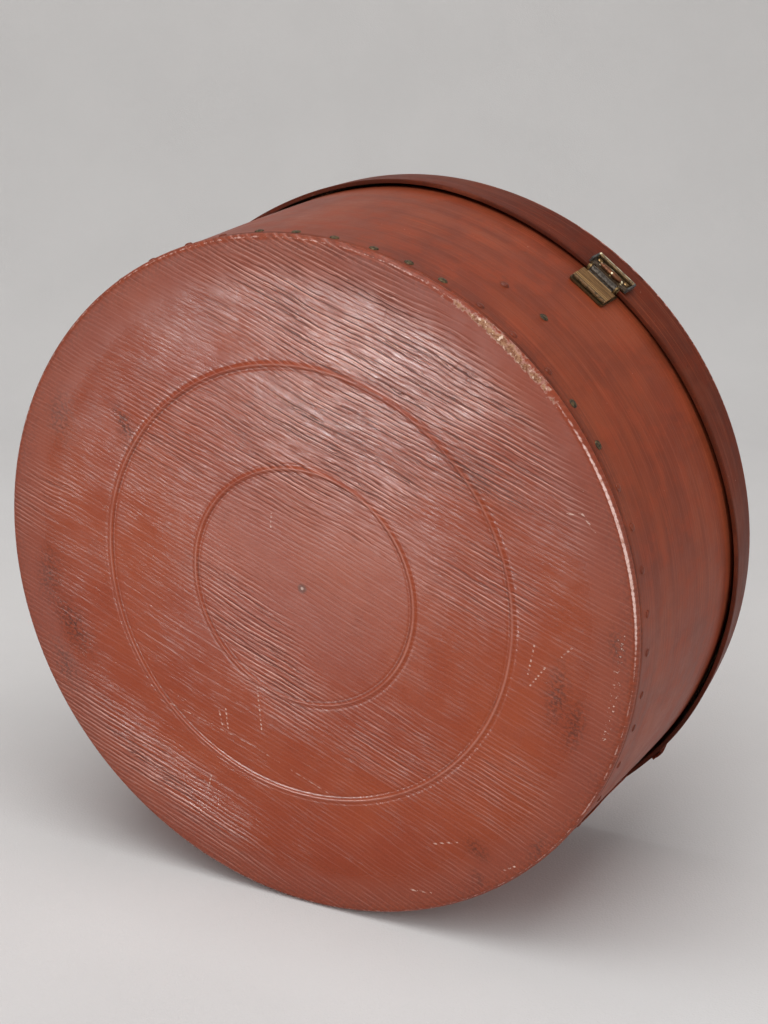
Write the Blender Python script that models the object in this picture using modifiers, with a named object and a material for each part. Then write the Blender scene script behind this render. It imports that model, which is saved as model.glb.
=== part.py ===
"""Round hatbox with a deep hinged lid, one brass clasp and a carrying handle.

The box stands upright: +Z up, origin at the centre of the base, clasp towards -Y, hinge towards +Y.
All lengths are metres.
"""
import math

import bmesh
import bpy
from mathutils import Matrix, Vector

# Overall sizes
BODY_RADIUS = 0.2300
TOTAL_HEIGHT = 0.1972
SKIRT_HEIGHT = 0.0442
LID_SWING_GAP = 0.0020
FIT_GAP = 0.0003

# Sheet and board thicknesses
CLOTH = 0.0008
WALL_HOOP = 0.0032
SKIRT_HOOP = 0.0017
LINING = 0.0005
BASE_BOARD = 0.0030
LID_BOARD = 0.0050

# Foot of the wall and edges of the covers
RING_WIDTH = 0.0120
RING_HEIGHT = 0.0140
BASE_EDGE_RADIUS = 0.0040
BASE_TURN_UP = 0.0046
LID_EDGE_RADIUS = 0.0040
LID_TURN_DOWN = 0.0046

# Pressed shape of the base and the lid
LAND_INNER_RADIUS = 0.1600
DISH_DEPTH = 0.0012
DISH_SLOPE = 0.0080
OUTER_BEAD_RADIUS = 0.1483
INNER_BEAD_RADIUS = 0.0807
BEAD_WIDTH = 0.0050
BEAD_HEIGHT = 0.0010
NUB_RADIUS = 0.0030
NUB_HEIGHT = 0.0006

# Nails of the base, and the two odd ones on the wall
NAIL_HEIGHT = 0.01265
NAIL_HEAD_RADIUS = 0.0031
NAIL_CROWN_RADIUS = 0.0018
NAIL_HEAD_HEIGHT = 0.0010
NAIL_SINK = 0.0003
NAIL_COUNT = 54
NAIL_START = math.radians(-89.2)
ODD_NAIL_HEIGHT = 0.0570
ODD_NAIL_FRONT = math.radians(-89.65)
ODD_NAIL_SIDE = math.radians(-97.5)
ODD_NAIL_SHANK = 0.0009
ODD_NAIL_BITE = 0.0020

# Laps of the cloth at the right-hand side
LAP_AZIMUTH = math.radians(2.0)
WALL_LAP_WIDTH = 0.0160
WALL_LAP_THICKNESS = 0.0011
WALL_LAP_BOTTOM = 0.0390
WALL_LAP_TOP = 0.1115
SKIRT_LAP_WIDTH = 0.0240
SKIRT_LAP_THICKNESS = 0.0022
SKIRT_LAP_TOP_MARGIN = 0.0060

# Rivets
RIVET_HEAD_RADIUS = 0.0021
RIVET_HEAD_HEIGHT = 0.0009
RIVET_SHANK = 0.0011
RIVET_BURR_HEIGHT = 0.0006

# Clasp: plate on the body
CLASP_WIDTH = 0.0286
CLASP_PLATE = 0.0010
CLASP_BELOW_RIM = 0.0290
CLASP_PLATE_HEIGHT = 0.0265
CLASP_CORNER = 0.0030
CLASP_PIN_RADIUS = 0.0012
CLASP_PIN_BELOW_RIM = 0.0068
CLASP_PIN_STANDOFF = 0.0059
EAR_THICKNESS = 0.0014
EAR_NOSE_RADIUS = 0.0032
EAR_FOOT_HALF = 0.0034
PIN_HEAD_RADIUS = 0.0019
PIN_HEAD_HEIGHT = 0.0008
CLASP_RIVET_SPACING = 0.0190
CLASP_RIVET_LIFT = 0.0105

# Clasp: lever
LEVER_WIDTH = 0.0274
LEVER_THICKNESS = 0.0011
LEVER_FOOT_GAP = 0.0006
LEVER_BOTTOM_MARGIN = 0.0025
LEVER_RIB_PITCH = 0.0018
LEVER_RIB_RADIUS = 0.0007
LEVER_RIB_COUNT = 3
LEVER_FACE_LENGTH = 0.0096
LEVER_CROWN = 0.0003
LEVER_BARREL_LENGTH = 0.0206
BARREL_RADIUS = 0.0026

# Clasp: keeper on the lid
KEEPER_WIDTH = 0.0320
KEEPER_PLATE = 0.0010
KEEPER_ABOVE_RIM = 0.0010
KEEPER_HEIGHT = 0.0152
KEEPER_WALL = 0.0012
KEEPER_WALL_DEPTH = 0.0034
KEEPER_BAR_RADIUS = 0.0015
KEEPER_NOSE_LENGTH = 0.0200
KEEPER_NOSE_RADIUS = 0.0028
KEEPER_NOSE_DEPTH = 0.0018
KEEPER_NOSE_LIFT = 0.0045
TONGUE_WIDTH = 0.0180
TONGUE_THICKNESS = 0.0008
TONGUE_STANDOFF = 0.0021
TONGUE_DROP = 0.0090
TONGUE_JOGGLE = 0.0010
TONGUE_BELOW_RIM = 0.0006
KEEPER_RIVET_SPACING = 0.0230
KEEPER_RIVET_LIFT = 0.0095

# Hinge
HINGE_WIDTH = 0.0380
HINGE_LEAF = 0.0012
HINGE_LEAF_HEIGHT = 0.0180
HINGE_BELOW_RIM = 0.0040
HINGE_KNUCKLE = 0.0124
HINGE_RIVET_SPACING = 0.0240

# Handle
HANDLE_SPAN = 0.1200
HANDLE_REACH = 0.0360
HANDLE_GRIP_RADIUS = 0.0070
HANDLE_NECK_RADIUS = 0.0044
HANDLE_END_RADIUS = 0.0048
HANDLE_END_WIDTH = 0.0130
LOOP_BAR_RADIUS = 0.0020
LOOP_LUG = 0.0020
LOOP_LUG_GAP = 0.0006
LOOP_PLATE_WIDTH = 0.0260
LOOP_PLATE_LENGTH = 0.0160
LOOP_PLATE = 0.0012
LOOP_LUG_RADIUS = 0.0034
LOOP_TO_BEAD = 0.0052

# Numbers of faces
SEGMENTS = 56
SMALL_SEGMENTS = 10
NAIL_SEGMENTS = 6
ARC_STEPS = 3
PLATE_CUTS = 5
SMOOTH_ANGLE = math.radians(35.0)
MERGE = 0.00001
OVERRUN = 0.0020

# Radii from the outside in
CLOTH_INNER = BODY_RADIUS - CLOTH
HOOP_OUTER = CLOTH_INNER - FIT_GAP
HOOP_INNER = HOOP_OUTER - WALL_HOOP
LINING_OUTER = HOOP_INNER - FIT_GAP
LINING_INNER = LINING_OUTER - LINING
SKIRT_HOOP_INNER = BODY_RADIUS + LID_SWING_GAP
SKIRT_HOOP_OUTER = SKIRT_HOOP_INNER + SKIRT_HOOP
SKIRT_CLOTH_INNER = SKIRT_HOOP_OUTER + FIT_GAP
LID_RADIUS = SKIRT_CLOTH_INNER + CLOTH

# Heights from the base up
LID_RIM_HEIGHT = TOTAL_HEIGHT - SKIRT_HEIGHT
CLASP_BOTTOM = LID_RIM_HEIGHT - CLASP_BELOW_RIM
BOARD_UNDERSIDE = CLOTH + FIT_GAP
BOARD_TOP = BOARD_UNDERSIDE + BASE_BOARD
WALL_FOOT = BOARD_TOP + FIT_GAP
LINING_BED = BOARD_TOP + DISH_DEPTH + FIT_GAP
LID_BOARD_TOP = TOTAL_HEIGHT - CLOTH - FIT_GAP
LID_BOARD_UNDERSIDE = LID_BOARD_TOP - LID_BOARD
LID_LINING_UNDERSIDE = LID_BOARD_UNDERSIDE - FIT_GAP - LINING
WALL_TOP = LID_LINING_UNDERSIDE - FIT_GAP
HOOP_TOP = WALL_TOP - CLOTH - FIT_GAP

# Joint axes
HINGE_Y = LID_RADIUS + FIT_GAP + BARREL_RADIUS
HINGE_Z = LID_RIM_HEIGHT - HINGE_BELOW_RIM
LEVER_Y = -(BODY_RADIUS + CLASP_PIN_STANDOFF)
LEVER_Z = LID_RIM_HEIGHT - CLASP_PIN_BELOW_RIM
HANDLE_Z = TOTAL_HEIGHT + FIT_GAP + HANDLE_GRIP_RADIUS
LID_INNER_BEAD_RADIUS = (HANDLE_SPAN + LOOP_PLATE_WIDTH + BEAD_WIDTH) / 2 + LOOP_TO_BEAD

ROUND_BEAD_SHARES = ((-1.0, 0.0), (-0.5, 0.8), (0.0, 1.0), (0.5, 0.8), (1.0, 0.0))
PLAIN_BEAD_SHARES = ((-1.0, 0.0), (0.0, 1.0), (1.0, 0.0))
BORE_RADIUS = CLASP_PIN_RADIUS + FIT_GAP
FRONT = math.radians(-90.0)
BACK = math.radians(90.0)


def clear_scene():
    for item in list(bpy.data.objects):
        bpy.data.objects.remove(item, do_unlink=True)


def new_collection(name):
    collection = bpy.data.collections.new(name)
    bpy.context.scene.collection.children.link(collection)
    return collection


def new_material(name, colour, roughness, metallic=0.0):
    material = bpy.data.materials.new(name)
    material.use_nodes = True
    shader = material.node_tree.nodes["Principled BSDF"]
    shader.inputs["Base Color"].default_value = (*colour, 1.0)
    shader.inputs["Roughness"].default_value = roughness
    shader.inputs["Metallic"].default_value = metallic
    material.diffuse_color = (*colour, 1.0)
    return material


def place(name, mesh, material=None):
    """Links a mesh as a named piece, or as a cutter where it has no material."""
    item = bpy.data.objects.new(name, mesh)
    if material is None:
        CUTTERS.objects.link(item)
        item.hide_render = True
        item.display_type = "WIRE"
    else:
        PARTS.objects.link(item)
        mesh.materials.append(material)
    return item


def arc(centre, radius, start, end, steps=ARC_STEPS):
    """Points of an arc in the profile's plane, both ends included."""
    points = []
    for step in range(steps + 1):
        angle = start + (end - start) * step / steps
        points.append((centre[0] + radius * math.cos(angle), centre[1] + radius * math.sin(angle)))
    return points


def turned(name, profile, material=None, segments=SEGMENTS, closed=True):
    """Turns a profile of (radius, height) points, listed clockwise, about +Z."""
    mesh = bpy.data.meshes.new(name)
    edges = [(i, i + 1) for i in range(len(profile) - 1)]
    if closed:
        edges.append((len(profile) - 1, 0))
    mesh.from_pydata([(radius, 0.0, height) for radius, height in profile], edges, [])
    item = place(name, mesh, material)
    screw = item.modifiers.new("turn", "SCREW")
    screw.steps = segments
    screw.render_steps = segments
    screw.use_merge_vertices = True
    screw.merge_threshold = MERGE
    return item


def sleeve(name, inner, outer, bottom, top, material=None):
    profile = [(outer, top), (outer, bottom), (inner, bottom), (inner, top)]
    return turned(name, profile, material)


def disc(name, radius, bottom, top, material=None):
    profile = [(0.0, top), (radius, top), (radius, bottom), (0.0, bottom)]
    return turned(name, profile, material, closed=False)


def shade(item):
    mesh = item.data
    mesh.shade_smooth()
    mesh.set_sharp_from_angle(angle=SMOOTH_ANGLE)


def solidified(item):
    """Replaces an object's modifiers by the mesh that they make, and shades it."""
    bpy.context.view_layer.update()
    evaluated = item.evaluated_get(bpy.context.evaluated_depsgraph_get())
    mesh = bpy.data.meshes.new_from_object(evaluated)
    item.modifiers.clear()
    item.data = mesh
    shade(item)
    return item


def combine(item, tools, operation):
    """Cuts an object by the tools, or joins them to it."""
    for tool in tools:
        step = item.modifiers.new(operation.lower(), "BOOLEAN")
        step.operation = operation
        step.solver = "EXACT"
        step.object = tool
    return item


def side_frame(azimuth):
    """Axes for an outline on the wall: x is outward, y is up, z runs along the wall."""
    outward = Vector((math.cos(azimuth), math.sin(azimuth), 0.0))
    up = Vector((0.0, 0.0, 1.0))
    along = outward.cross(up)
    return Matrix((outward, up, along)).transposed().to_4x4()


def outline_solid(name, points, half_width, frame, material=None):
    """Extrudes a closed flat outline to both sides and returns it as a mesh object."""
    curve = bpy.data.curves.new(name, "CURVE")
    curve.dimensions = "2D"
    curve.fill_mode = "BOTH"
    curve.extrude = half_width
    spline = curve.splines.new("POLY")
    spline.points.add(len(points) - 1)
    for point, (across, up) in zip(spline.points, points):
        point.co = (across, up, 0.0, 1.0)
    spline.use_cyclic_u = True
    return from_curve(name, curve, frame, material)


def from_curve(name, curve, frame, material=None):
    """Makes a closed mesh object of a curve, in world space."""
    guide = bpy.data.objects.new(name + "_curve", curve)
    CUTTERS.objects.link(guide)
    guide.matrix_world = frame
    bpy.context.view_layer.update()
    evaluated = guide.evaluated_get(bpy.context.evaluated_depsgraph_get())
    mesh = bpy.data.meshes.new_from_object(evaluated)
    bpy.data.objects.remove(guide)
    work = bmesh.new()
    work.from_mesh(mesh)
    bmesh.ops.transform(work, matrix=frame, verts=work.verts)
    bmesh.ops.remove_doubles(work, verts=work.verts, dist=MERGE)
    bmesh.ops.recalc_face_normals(work, faces=work.faces)
    work.to_mesh(mesh)
    work.free()
    mesh.materials.clear()
    return place(name, mesh, material)


def block(name, low, high, material=None):
    """Box between two corners."""
    work = bmesh.new()
    bmesh.ops.create_cube(work, size=1.0)
    for vert in work.verts:
        vert.co = [high[i] if vert.co[i] > 0.0 else low[i] for i in range(3)]
    mesh = bpy.data.meshes.new(name)
    work.to_mesh(mesh)
    work.free()
    return place(name, mesh, material)


def rod(name, centre, radius, length, material=None, segments=SMALL_SEGMENTS):
    """Cylinder along X."""
    work = bmesh.new()
    turn = Matrix.Translation(centre) @ Matrix.Rotation(math.radians(90.0), 4, "Y")
    bmesh.ops.create_cone(work, cap_ends=True, segments=segments, radius1=radius, radius2=radius,
                          depth=length, matrix=turn)
    mesh = bpy.data.meshes.new(name)
    work.to_mesh(mesh)
    work.free()
    return place(name, mesh, material)


def curved_plate(name, radius, thickness, width, bottom, top, azimuth, material=None):
    """Plate that follows a cylinder of the given radius, its back face on the cylinder."""
    work = bmesh.new()
    bmesh.ops.create_cube(work, size=1.0)
    across = [edge for edge in work.edges if abs(edge.verts[0].co.y - edge.verts[1].co.y) > 0.5]
    bmesh.ops.subdivide_edges(work, edges=across, cuts=PLATE_CUTS, use_grid_fill=True)
    for vert in work.verts:
        reach = radius + (vert.co.x + 0.5) * thickness
        angle = azimuth + vert.co.y * width / radius
        height = bottom + (vert.co.z + 0.5) * (top - bottom)
        vert.co = (reach * math.cos(angle), reach * math.sin(angle), height)
    bmesh.ops.recalc_face_normals(work, faces=work.faces)
    mesh = bpy.data.meshes.new(name)
    work.to_mesh(mesh)
    work.free()
    return place(name, mesh, material)


def outward_frame(radius, azimuth, height, shift=0.0):
    """Puts local +Z along the outward direction at a place on the wall, moved sideways by shift."""
    turn = Matrix.Rotation(azimuth, 4, "Z") @ Matrix.Rotation(math.radians(90.0), 4, "Y")
    return Matrix.Rotation(azimuth, 4, "Z") @ Matrix.Translation((radius, shift, height)) \
        @ Matrix.Rotation(azimuth, 4, "Z").inverted() @ turn


def rivet(name, seat, azimuth, height, shift, depth, material, burr=True):
    """Domed rivet whose head sits at radius seat, and whose shank ends depth further in."""
    head = seat + FIT_GAP
    points = [(0.0, RIVET_HEAD_HEIGHT)]
    points += [(RIVET_HEAD_RADIUS * 0.75, RIVET_HEAD_HEIGHT * 0.7), (RIVET_HEAD_RADIUS, 0.0)]
    points += [(RIVET_SHANK, 0.0), (RIVET_SHANK, -depth)]
    if burr:
        points += [(RIVET_HEAD_RADIUS, -depth), (RIVET_HEAD_RADIUS, -depth - RIVET_BURR_HEIGHT)]
        points += [(0.0, -depth - RIVET_BURR_HEIGHT)]
    else:
        points += [(0.0, -depth)]
    item = turned(name, points, material, segments=SMALL_SEGMENTS, closed=False)
    item.matrix_world = outward_frame(head, azimuth, height, shift)
    return item


def inner_depth(seat, shift):
    """Depth from a rivet's seat to the faceted lining behind it."""
    reach = abs(shift) + RIVET_HEAD_RADIUS
    behind = math.sqrt(LINING_INNER ** 2 - reach ** 2) * math.cos(math.pi / SEGMENTS)
    return seat - behind + FIT_GAP * 2


def rivet_drill(name, azimuth, height, shift, radius=RIVET_SHANK + FIT_GAP):
    """Cutter for a rivet's hole, through everything at that place."""
    work = bmesh.new()
    depth = LID_RADIUS - LINING_INNER + KEEPER_WALL_DEPTH + OVERRUN * 2
    bmesh.ops.create_cone(work, cap_ends=True, segments=SMALL_SEGMENTS, radius1=radius,
                          radius2=radius, depth=depth)
    mesh = bpy.data.meshes.new(name)
    work.to_mesh(mesh)
    work.free()
    item = place(name, mesh)
    item.matrix_world = outward_frame((LID_RADIUS + LINING_INNER) / 2, azimuth, height, shift)
    return item


def bead(radius, level, rise, direction, shares):
    """Ridge in a profile that runs in the given direction: +1 outward, -1 inward."""
    half = BEAD_WIDTH / 2
    return [(radius + direction * half * out, level + rise * up) for out, up in shares]


def base_underside():
    """Underside of the base from its rounded edge inward to the axis."""
    points = arc((BODY_RADIUS - BASE_EDGE_RADIUS, BASE_EDGE_RADIUS), BASE_EDGE_RADIUS,
                 0.0, math.radians(-90.0))
    points += [(LAND_INNER_RADIUS, 0.0), (LAND_INNER_RADIUS - DISH_SLOPE, DISH_DEPTH)]
    points += bead(OUTER_BEAD_RADIUS, DISH_DEPTH, -BEAD_HEIGHT, -1, ROUND_BEAD_SHARES)
    points += bead(INNER_BEAD_RADIUS, DISH_DEPTH, -BEAD_HEIGHT, -1, ROUND_BEAD_SHARES)
    points += [(NUB_RADIUS, DISH_DEPTH), (0.0, DISH_DEPTH - NUB_HEIGHT)]
    return points


def make_base():
    inner_edge = BASE_EDGE_RADIUS - CLOTH
    edge_centre = (BODY_RADIUS - BASE_EDGE_RADIUS, BASE_EDGE_RADIUS)
    slope_end = LAND_INNER_RADIUS - DISH_SLOPE
    cover = [(0.0, DISH_DEPTH + CLOTH), (slope_end, DISH_DEPTH + CLOTH), (LAND_INNER_RADIUS, CLOTH)]
    cover += arc(edge_centre, inner_edge, math.radians(-90.0), 0.0)
    cover += [(CLOTH_INNER, BASE_TURN_UP), (BODY_RADIUS, BASE_TURN_UP)]
    cover += base_underside()
    turned("base_cover", cover, RED_CLOTH, closed=False)

    board = [(0.0, BOARD_TOP + DISH_DEPTH), (slope_end, BOARD_TOP + DISH_DEPTH)]
    board += [(LAND_INNER_RADIUS, BOARD_TOP), (HOOP_OUTER, BOARD_TOP)]
    board += arc(edge_centre, inner_edge - FIT_GAP, 0.0, math.radians(-90.0))
    board += [(LAND_INNER_RADIUS, BOARD_UNDERSIDE), (slope_end, BOARD_UNDERSIDE + DISH_DEPTH)]
    board += [(0.0, BOARD_UNDERSIDE + DISH_DEPTH)]
    turned("base_panel", board, FIBRE_BOARD, closed=False)

    ring_inner = LINING_OUTER - RING_WIDTH
    sleeve("base_ring", ring_inner, LINING_OUTER, WALL_FOOT, WALL_FOOT + RING_HEIGHT, BENT_WOOD)
    disc("base_lining", ring_inner - FIT_GAP, LINING_BED, LINING_BED + LINING, PAPER)


def nail_heads():
    """All nail heads of the base in one mesh, each sunk a little into the faceted cloth."""
    work = bmesh.new()
    sink = NAIL_SINK + BODY_RADIUS * (1.0 - math.cos(math.pi / SEGMENTS))
    depth = NAIL_HEAD_HEIGHT + sink
    middle = BODY_RADIUS + (NAIL_HEAD_HEIGHT - sink) / 2
    for index in range(NAIL_COUNT):
        azimuth = NAIL_START + math.tau * index / NAIL_COUNT
        bmesh.ops.create_cone(work, cap_ends=True, segments=NAIL_SEGMENTS,
                              radius1=NAIL_HEAD_RADIUS, radius2=NAIL_CROWN_RADIUS, depth=depth,
                              matrix=outward_frame(middle, azimuth, NAIL_HEIGHT))
    mesh = bpy.data.meshes.new("nail_heads")
    work.to_mesh(mesh)
    work.free()
    return place("nail_heads", mesh)


def odd_nail(name, azimuth):
    """Single nail through the wall's cloth into the hoop."""
    bite = CLOTH + FIT_GAP * 2 + ODD_NAIL_BITE
    points = [(0.0, NAIL_HEAD_HEIGHT), (NAIL_CROWN_RADIUS, NAIL_HEAD_HEIGHT)]
    points += [(NAIL_HEAD_RADIUS, 0.0), (ODD_NAIL_SHANK, 0.0), (ODD_NAIL_SHANK, -bite), (0.0, -bite)]
    item = turned(name, points, DARK_IRON, segments=SMALL_SEGMENTS, closed=False)
    item.matrix_world = outward_frame(BODY_RADIUS + FIT_GAP, azimuth, ODD_NAIL_HEIGHT)


def make_wall():
    body_drills = []
    for side in (-1, 1):
        tag = "left" if side < 0 else "right"
        shift = side * CLASP_RIVET_SPACING / 2
        body_drills.append(rivet_drill("clasp_hole_" + tag, FRONT, CLASP_BOTTOM + CLASP_RIVET_LIFT, shift))
        shift = side * HINGE_RIVET_SPACING / 2
        body_drills.append(rivet_drill("hinge_hole_" + tag, BACK, LOWER_RIVET_Z, shift))
    odd_radius = ODD_NAIL_SHANK + FIT_GAP
    odd_drills = [rivet_drill("odd_hole_front", ODD_NAIL_FRONT, ODD_NAIL_HEIGHT, 0.0, odd_radius),
                  rivet_drill("odd_hole_side", ODD_NAIL_SIDE, ODD_NAIL_HEIGHT, 0.0, odd_radius)]

    hoop = sleeve("wall_hoop", HOOP_INNER, HOOP_OUTER, WALL_FOOT, HOOP_TOP, FIBRE_BOARD)
    combine(hoop, body_drills + odd_drills, "DIFFERENCE")
    solidified(hoop)

    foot = BASE_TURN_UP + FIT_GAP
    cover = [(BODY_RADIUS, WALL_TOP), (BODY_RADIUS, foot), (CLOTH_INNER, foot)]
    cover += [(CLOTH_INNER, WALL_TOP - CLOTH), (HOOP_INNER, WALL_TOP - CLOTH), (HOOP_INNER, WALL_TOP)]
    cloth = turned("wall_cover", cover, RED_CLOTH)
    combine(cloth, [nail_heads()], "UNION")
    combine(cloth, body_drills + odd_drills, "DIFFERENCE")
    solidified(cloth)

    lining_foot = WALL_FOOT + RING_HEIGHT + FIT_GAP
    paper = sleeve("wall_lining", LINING_INNER, LINING_OUTER, lining_foot, HOOP_TOP, PAPER)
    combine(paper, body_drills, "DIFFERENCE")
    solidified(paper)

    odd_nail("wall_nail_front", ODD_NAIL_FRONT)
    odd_nail("wall_nail_side", ODD_NAIL_SIDE)
    curved_plate("wall_lap", BODY_RADIUS + FIT_GAP, WALL_LAP_THICKNESS, WALL_LAP_WIDTH,
                 WALL_LAP_BOTTOM, WALL_LAP_TOP, LAP_AZIMUTH, RED_CLOTH)


def make_lid():
    keeper_z = LID_RIM_HEIGHT + KEEPER_ABOVE_RIM + KEEPER_RIVET_LIFT
    drills = []
    for side in (-1, 1):
        tag = "left" if side < 0 else "right"
        drills.append(rivet_drill("keeper_hole_" + tag, FRONT, keeper_z, side * KEEPER_RIVET_SPACING / 2))
        drills.append(rivet_drill("leaf_hole_" + tag, BACK, UPPER_RIVET_Z, side * HINGE_RIVET_SPACING / 2))

    disc("lid_panel", SKIRT_HOOP_INNER - FIT_GAP, LID_BOARD_UNDERSIDE, LID_BOARD_TOP, FIBRE_BOARD)
    disc("lid_lining", LINING_OUTER + WALL_HOOP, LID_LINING_UNDERSIDE, LID_LINING_UNDERSIDE + LINING, PAPER)

    rim = LID_RIM_HEIGHT + CLOTH + FIT_GAP
    edge_centre = (LID_RADIUS - LID_EDGE_RADIUS, TOTAL_HEIGHT - LID_EDGE_RADIUS)
    inner_edge = LID_EDGE_RADIUS - CLOTH
    corner = LID_EDGE_RADIUS - CLOTH - FIT_GAP
    hoop_start = math.acos((SKIRT_HOOP_INNER - edge_centre[0]) / corner)
    hoop = arc(edge_centre, corner, hoop_start, 0.0)
    hoop += [(SKIRT_HOOP_OUTER, rim), (SKIRT_HOOP_INNER, rim)]
    skirt = turned("lid_hoop", hoop, FIBRE_BOARD)
    combine(skirt, drills, "DIFFERENCE")
    solidified(skirt)

    lower = TOTAL_HEIGHT - LID_TURN_DOWN
    cover = [(0.0, TOTAL_HEIGHT)]
    cover += bead(LID_INNER_BEAD_RADIUS, TOTAL_HEIGHT, BEAD_HEIGHT, 1, PLAIN_BEAD_SHARES)
    cover += bead(OUTER_BEAD_RADIUS, TOTAL_HEIGHT, BEAD_HEIGHT, 1, PLAIN_BEAD_SHARES)
    cover += arc(edge_centre, LID_EDGE_RADIUS, math.radians(90.0), 0.0)
    cover += [(LID_RADIUS, lower), (SKIRT_CLOTH_INNER, lower)]
    cover += arc(edge_centre, inner_edge, 0.0, math.radians(90.0))
    cover += [(0.0, TOTAL_HEIGHT - CLOTH)]
    turned("lid_cover", cover, RED_CLOTH, closed=False)

    band = [(LID_RADIUS, lower - FIT_GAP), (LID_RADIUS, LID_RIM_HEIGHT)]
    band += [(SKIRT_HOOP_INNER, LID_RIM_HEIGHT), (SKIRT_HOOP_INNER, LID_RIM_HEIGHT + CLOTH)]
    band += [(SKIRT_CLOTH_INNER, LID_RIM_HEIGHT + CLOTH), (SKIRT_CLOTH_INNER, lower - FIT_GAP)]
    cloth = turned("skirt_cover", band, RED_CLOTH)
    combine(cloth, drills, "DIFFERENCE")
    solidified(cloth)

    curved_plate("skirt_lap", LID_RADIUS + FIT_GAP, SKIRT_LAP_THICKNESS, SKIRT_LAP_WIDTH,
                 LID_RIM_HEIGHT, TOTAL_HEIGHT - SKIRT_LAP_TOP_MARGIN, LAP_AZIMUTH, DARK_LEATHER)


def pin(name, centre, length, material):
    """Headed pin along X."""
    half = length / 2
    points = [(0.0, half + PIN_HEAD_HEIGHT), (PIN_HEAD_RADIUS, half + PIN_HEAD_HEIGHT)]
    points += [(PIN_HEAD_RADIUS, half), (CLASP_PIN_RADIUS, half), (CLASP_PIN_RADIUS, -half)]
    points += [(PIN_HEAD_RADIUS, -half), (PIN_HEAD_RADIUS, -half - PIN_HEAD_HEIGHT)]
    points += [(0.0, -half - PIN_HEAD_HEIGHT)]
    item = turned(name, points, material, segments=SMALL_SEGMENTS, closed=False)
    item.matrix_world = Matrix.Translation(centre) @ Matrix.Rotation(math.radians(90.0), 4, "Y")
    return item


def make_clasp_plate():
    """Flat plate with two ears, riveted to the front of the wall."""
    front = side_frame(FRONT)
    back = BODY_RADIUS + FIT_GAP
    half = CLASP_WIDTH / 2
    top = CLASP_BOTTOM + CLASP_PLATE_HEIGHT
    low = CLASP_BOTTOM + CLASP_CORNER
    inset = half - CLASP_CORNER
    outline = [(half, top), (-half, top)]
    outline += arc((-inset, low), CLASP_CORNER, math.radians(180.0), math.radians(270.0))
    outline += arc((inset, low), CLASP_CORNER, math.radians(-90.0), 0.0)
    facing = Matrix(((1.0, 0.0, 0.0, 0.0), (0.0, 0.0, -1.0, -back - CLASP_PLATE / 2),
                     (0.0, 1.0, 0.0, 0.0), (0.0, 0.0, 0.0, 1.0)))
    plate = outline_solid("clasp_plate", outline, CLASP_PLATE / 2, facing, OLD_BRASS)

    reach = BODY_RADIUS + CLASP_PIN_STANDOFF
    foot = back + CLASP_PLATE / 2
    ear = [(foot, LEVER_Z - EAR_FOOT_HALF)]
    ear += arc((reach, LEVER_Z), EAR_NOSE_RADIUS, math.radians(-90.0), math.radians(90.0), 6)
    ear += [(foot, LEVER_Z + EAR_FOOT_HALF)]
    between = LEVER_BARREL_LENGTH / 2 + FIT_GAP + EAR_THICKNESS / 2
    ears = []
    for side in (-1, 1):
        shift = Matrix.Translation((side * between, 0.0, 0.0))
        ears.append(outline_solid("clasp_ear", ear, EAR_THICKNESS / 2, shift @ front))
    combine(plate, ears, "UNION")
    centre = (0.0, LEVER_Y, LEVER_Z)
    holes = [rod("clasp_bore", centre, BORE_RADIUS, CLASP_WIDTH + OVERRUN)]
    for side in (-1, 1):
        holes.append(rivet_drill("clasp_plate_hole", FRONT, CLASP_BOTTOM + CLASP_RIVET_LIFT,
                                 side * CLASP_RIVET_SPACING / 2))
    combine(plate, holes, "DIFFERENCE")
    solidified(plate)

    pin_length = 2 * (between + EAR_THICKNESS / 2 + FIT_GAP)
    pin("clasp_pin", centre, pin_length, OLD_BRASS)
    grip = inner_depth(back + CLASP_PLATE, CLASP_RIVET_SPACING / 2)
    for side, tag in ((-1, "left"), (1, "right")):
        rivet("clasp_rivet_" + tag, back + CLASP_PLATE, FRONT, CLASP_BOTTOM + CLASP_RIVET_LIFT,
              side * CLASP_RIVET_SPACING / 2, grip, OLD_BRASS)


def lever_outline():
    """Side view of the lever's ribbed plate: outer face upward, then the inner face down."""
    base = BODY_RADIUS + FIT_GAP + CLASP_PLATE + LEVER_FOOT_GAP
    bottom = CLASP_BOTTOM + LEVER_BOTTOM_MARGIN
    ribs_end = bottom + LEVER_RIB_PITCH * (LEVER_RIB_COUNT + 0.5)
    face_end = ribs_end + LEVER_FACE_LENGTH
    rise = CLASP_PIN_STANDOFF + BODY_RADIUS - BARREL_RADIUS / 2 - base - LEVER_THICKNESS
    outer = [(base + LEVER_THICKNESS, bottom)]
    for index in range(LEVER_RIB_COUNT):
        middle = bottom + LEVER_RIB_PITCH * (index + 0.75)
        level = base + LEVER_THICKNESS + rise * (middle - bottom) / (face_end - bottom)
        outer += arc((level, middle), LEVER_RIB_RADIUS, math.radians(-80.0), math.radians(80.0), 4)
    ribs_level = base + LEVER_THICKNESS + rise * (ribs_end - bottom) / (face_end - bottom)
    middle = (ribs_end + face_end) / 2
    outer += [(ribs_level, ribs_end), (base + LEVER_THICKNESS + rise, middle)]
    outer += [(base + LEVER_THICKNESS + rise + LEVER_CROWN, (middle + face_end) / 2)]
    outer += [(base + LEVER_THICKNESS + rise, face_end)]
    inner = [(base + rise, face_end), (base + rise, middle), (ribs_level - LEVER_THICKNESS, ribs_end)]
    inner += [(base, bottom + LEVER_RIB_PITCH / 2), (base, bottom)]
    return outer + inner, (base + rise, face_end)


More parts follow.
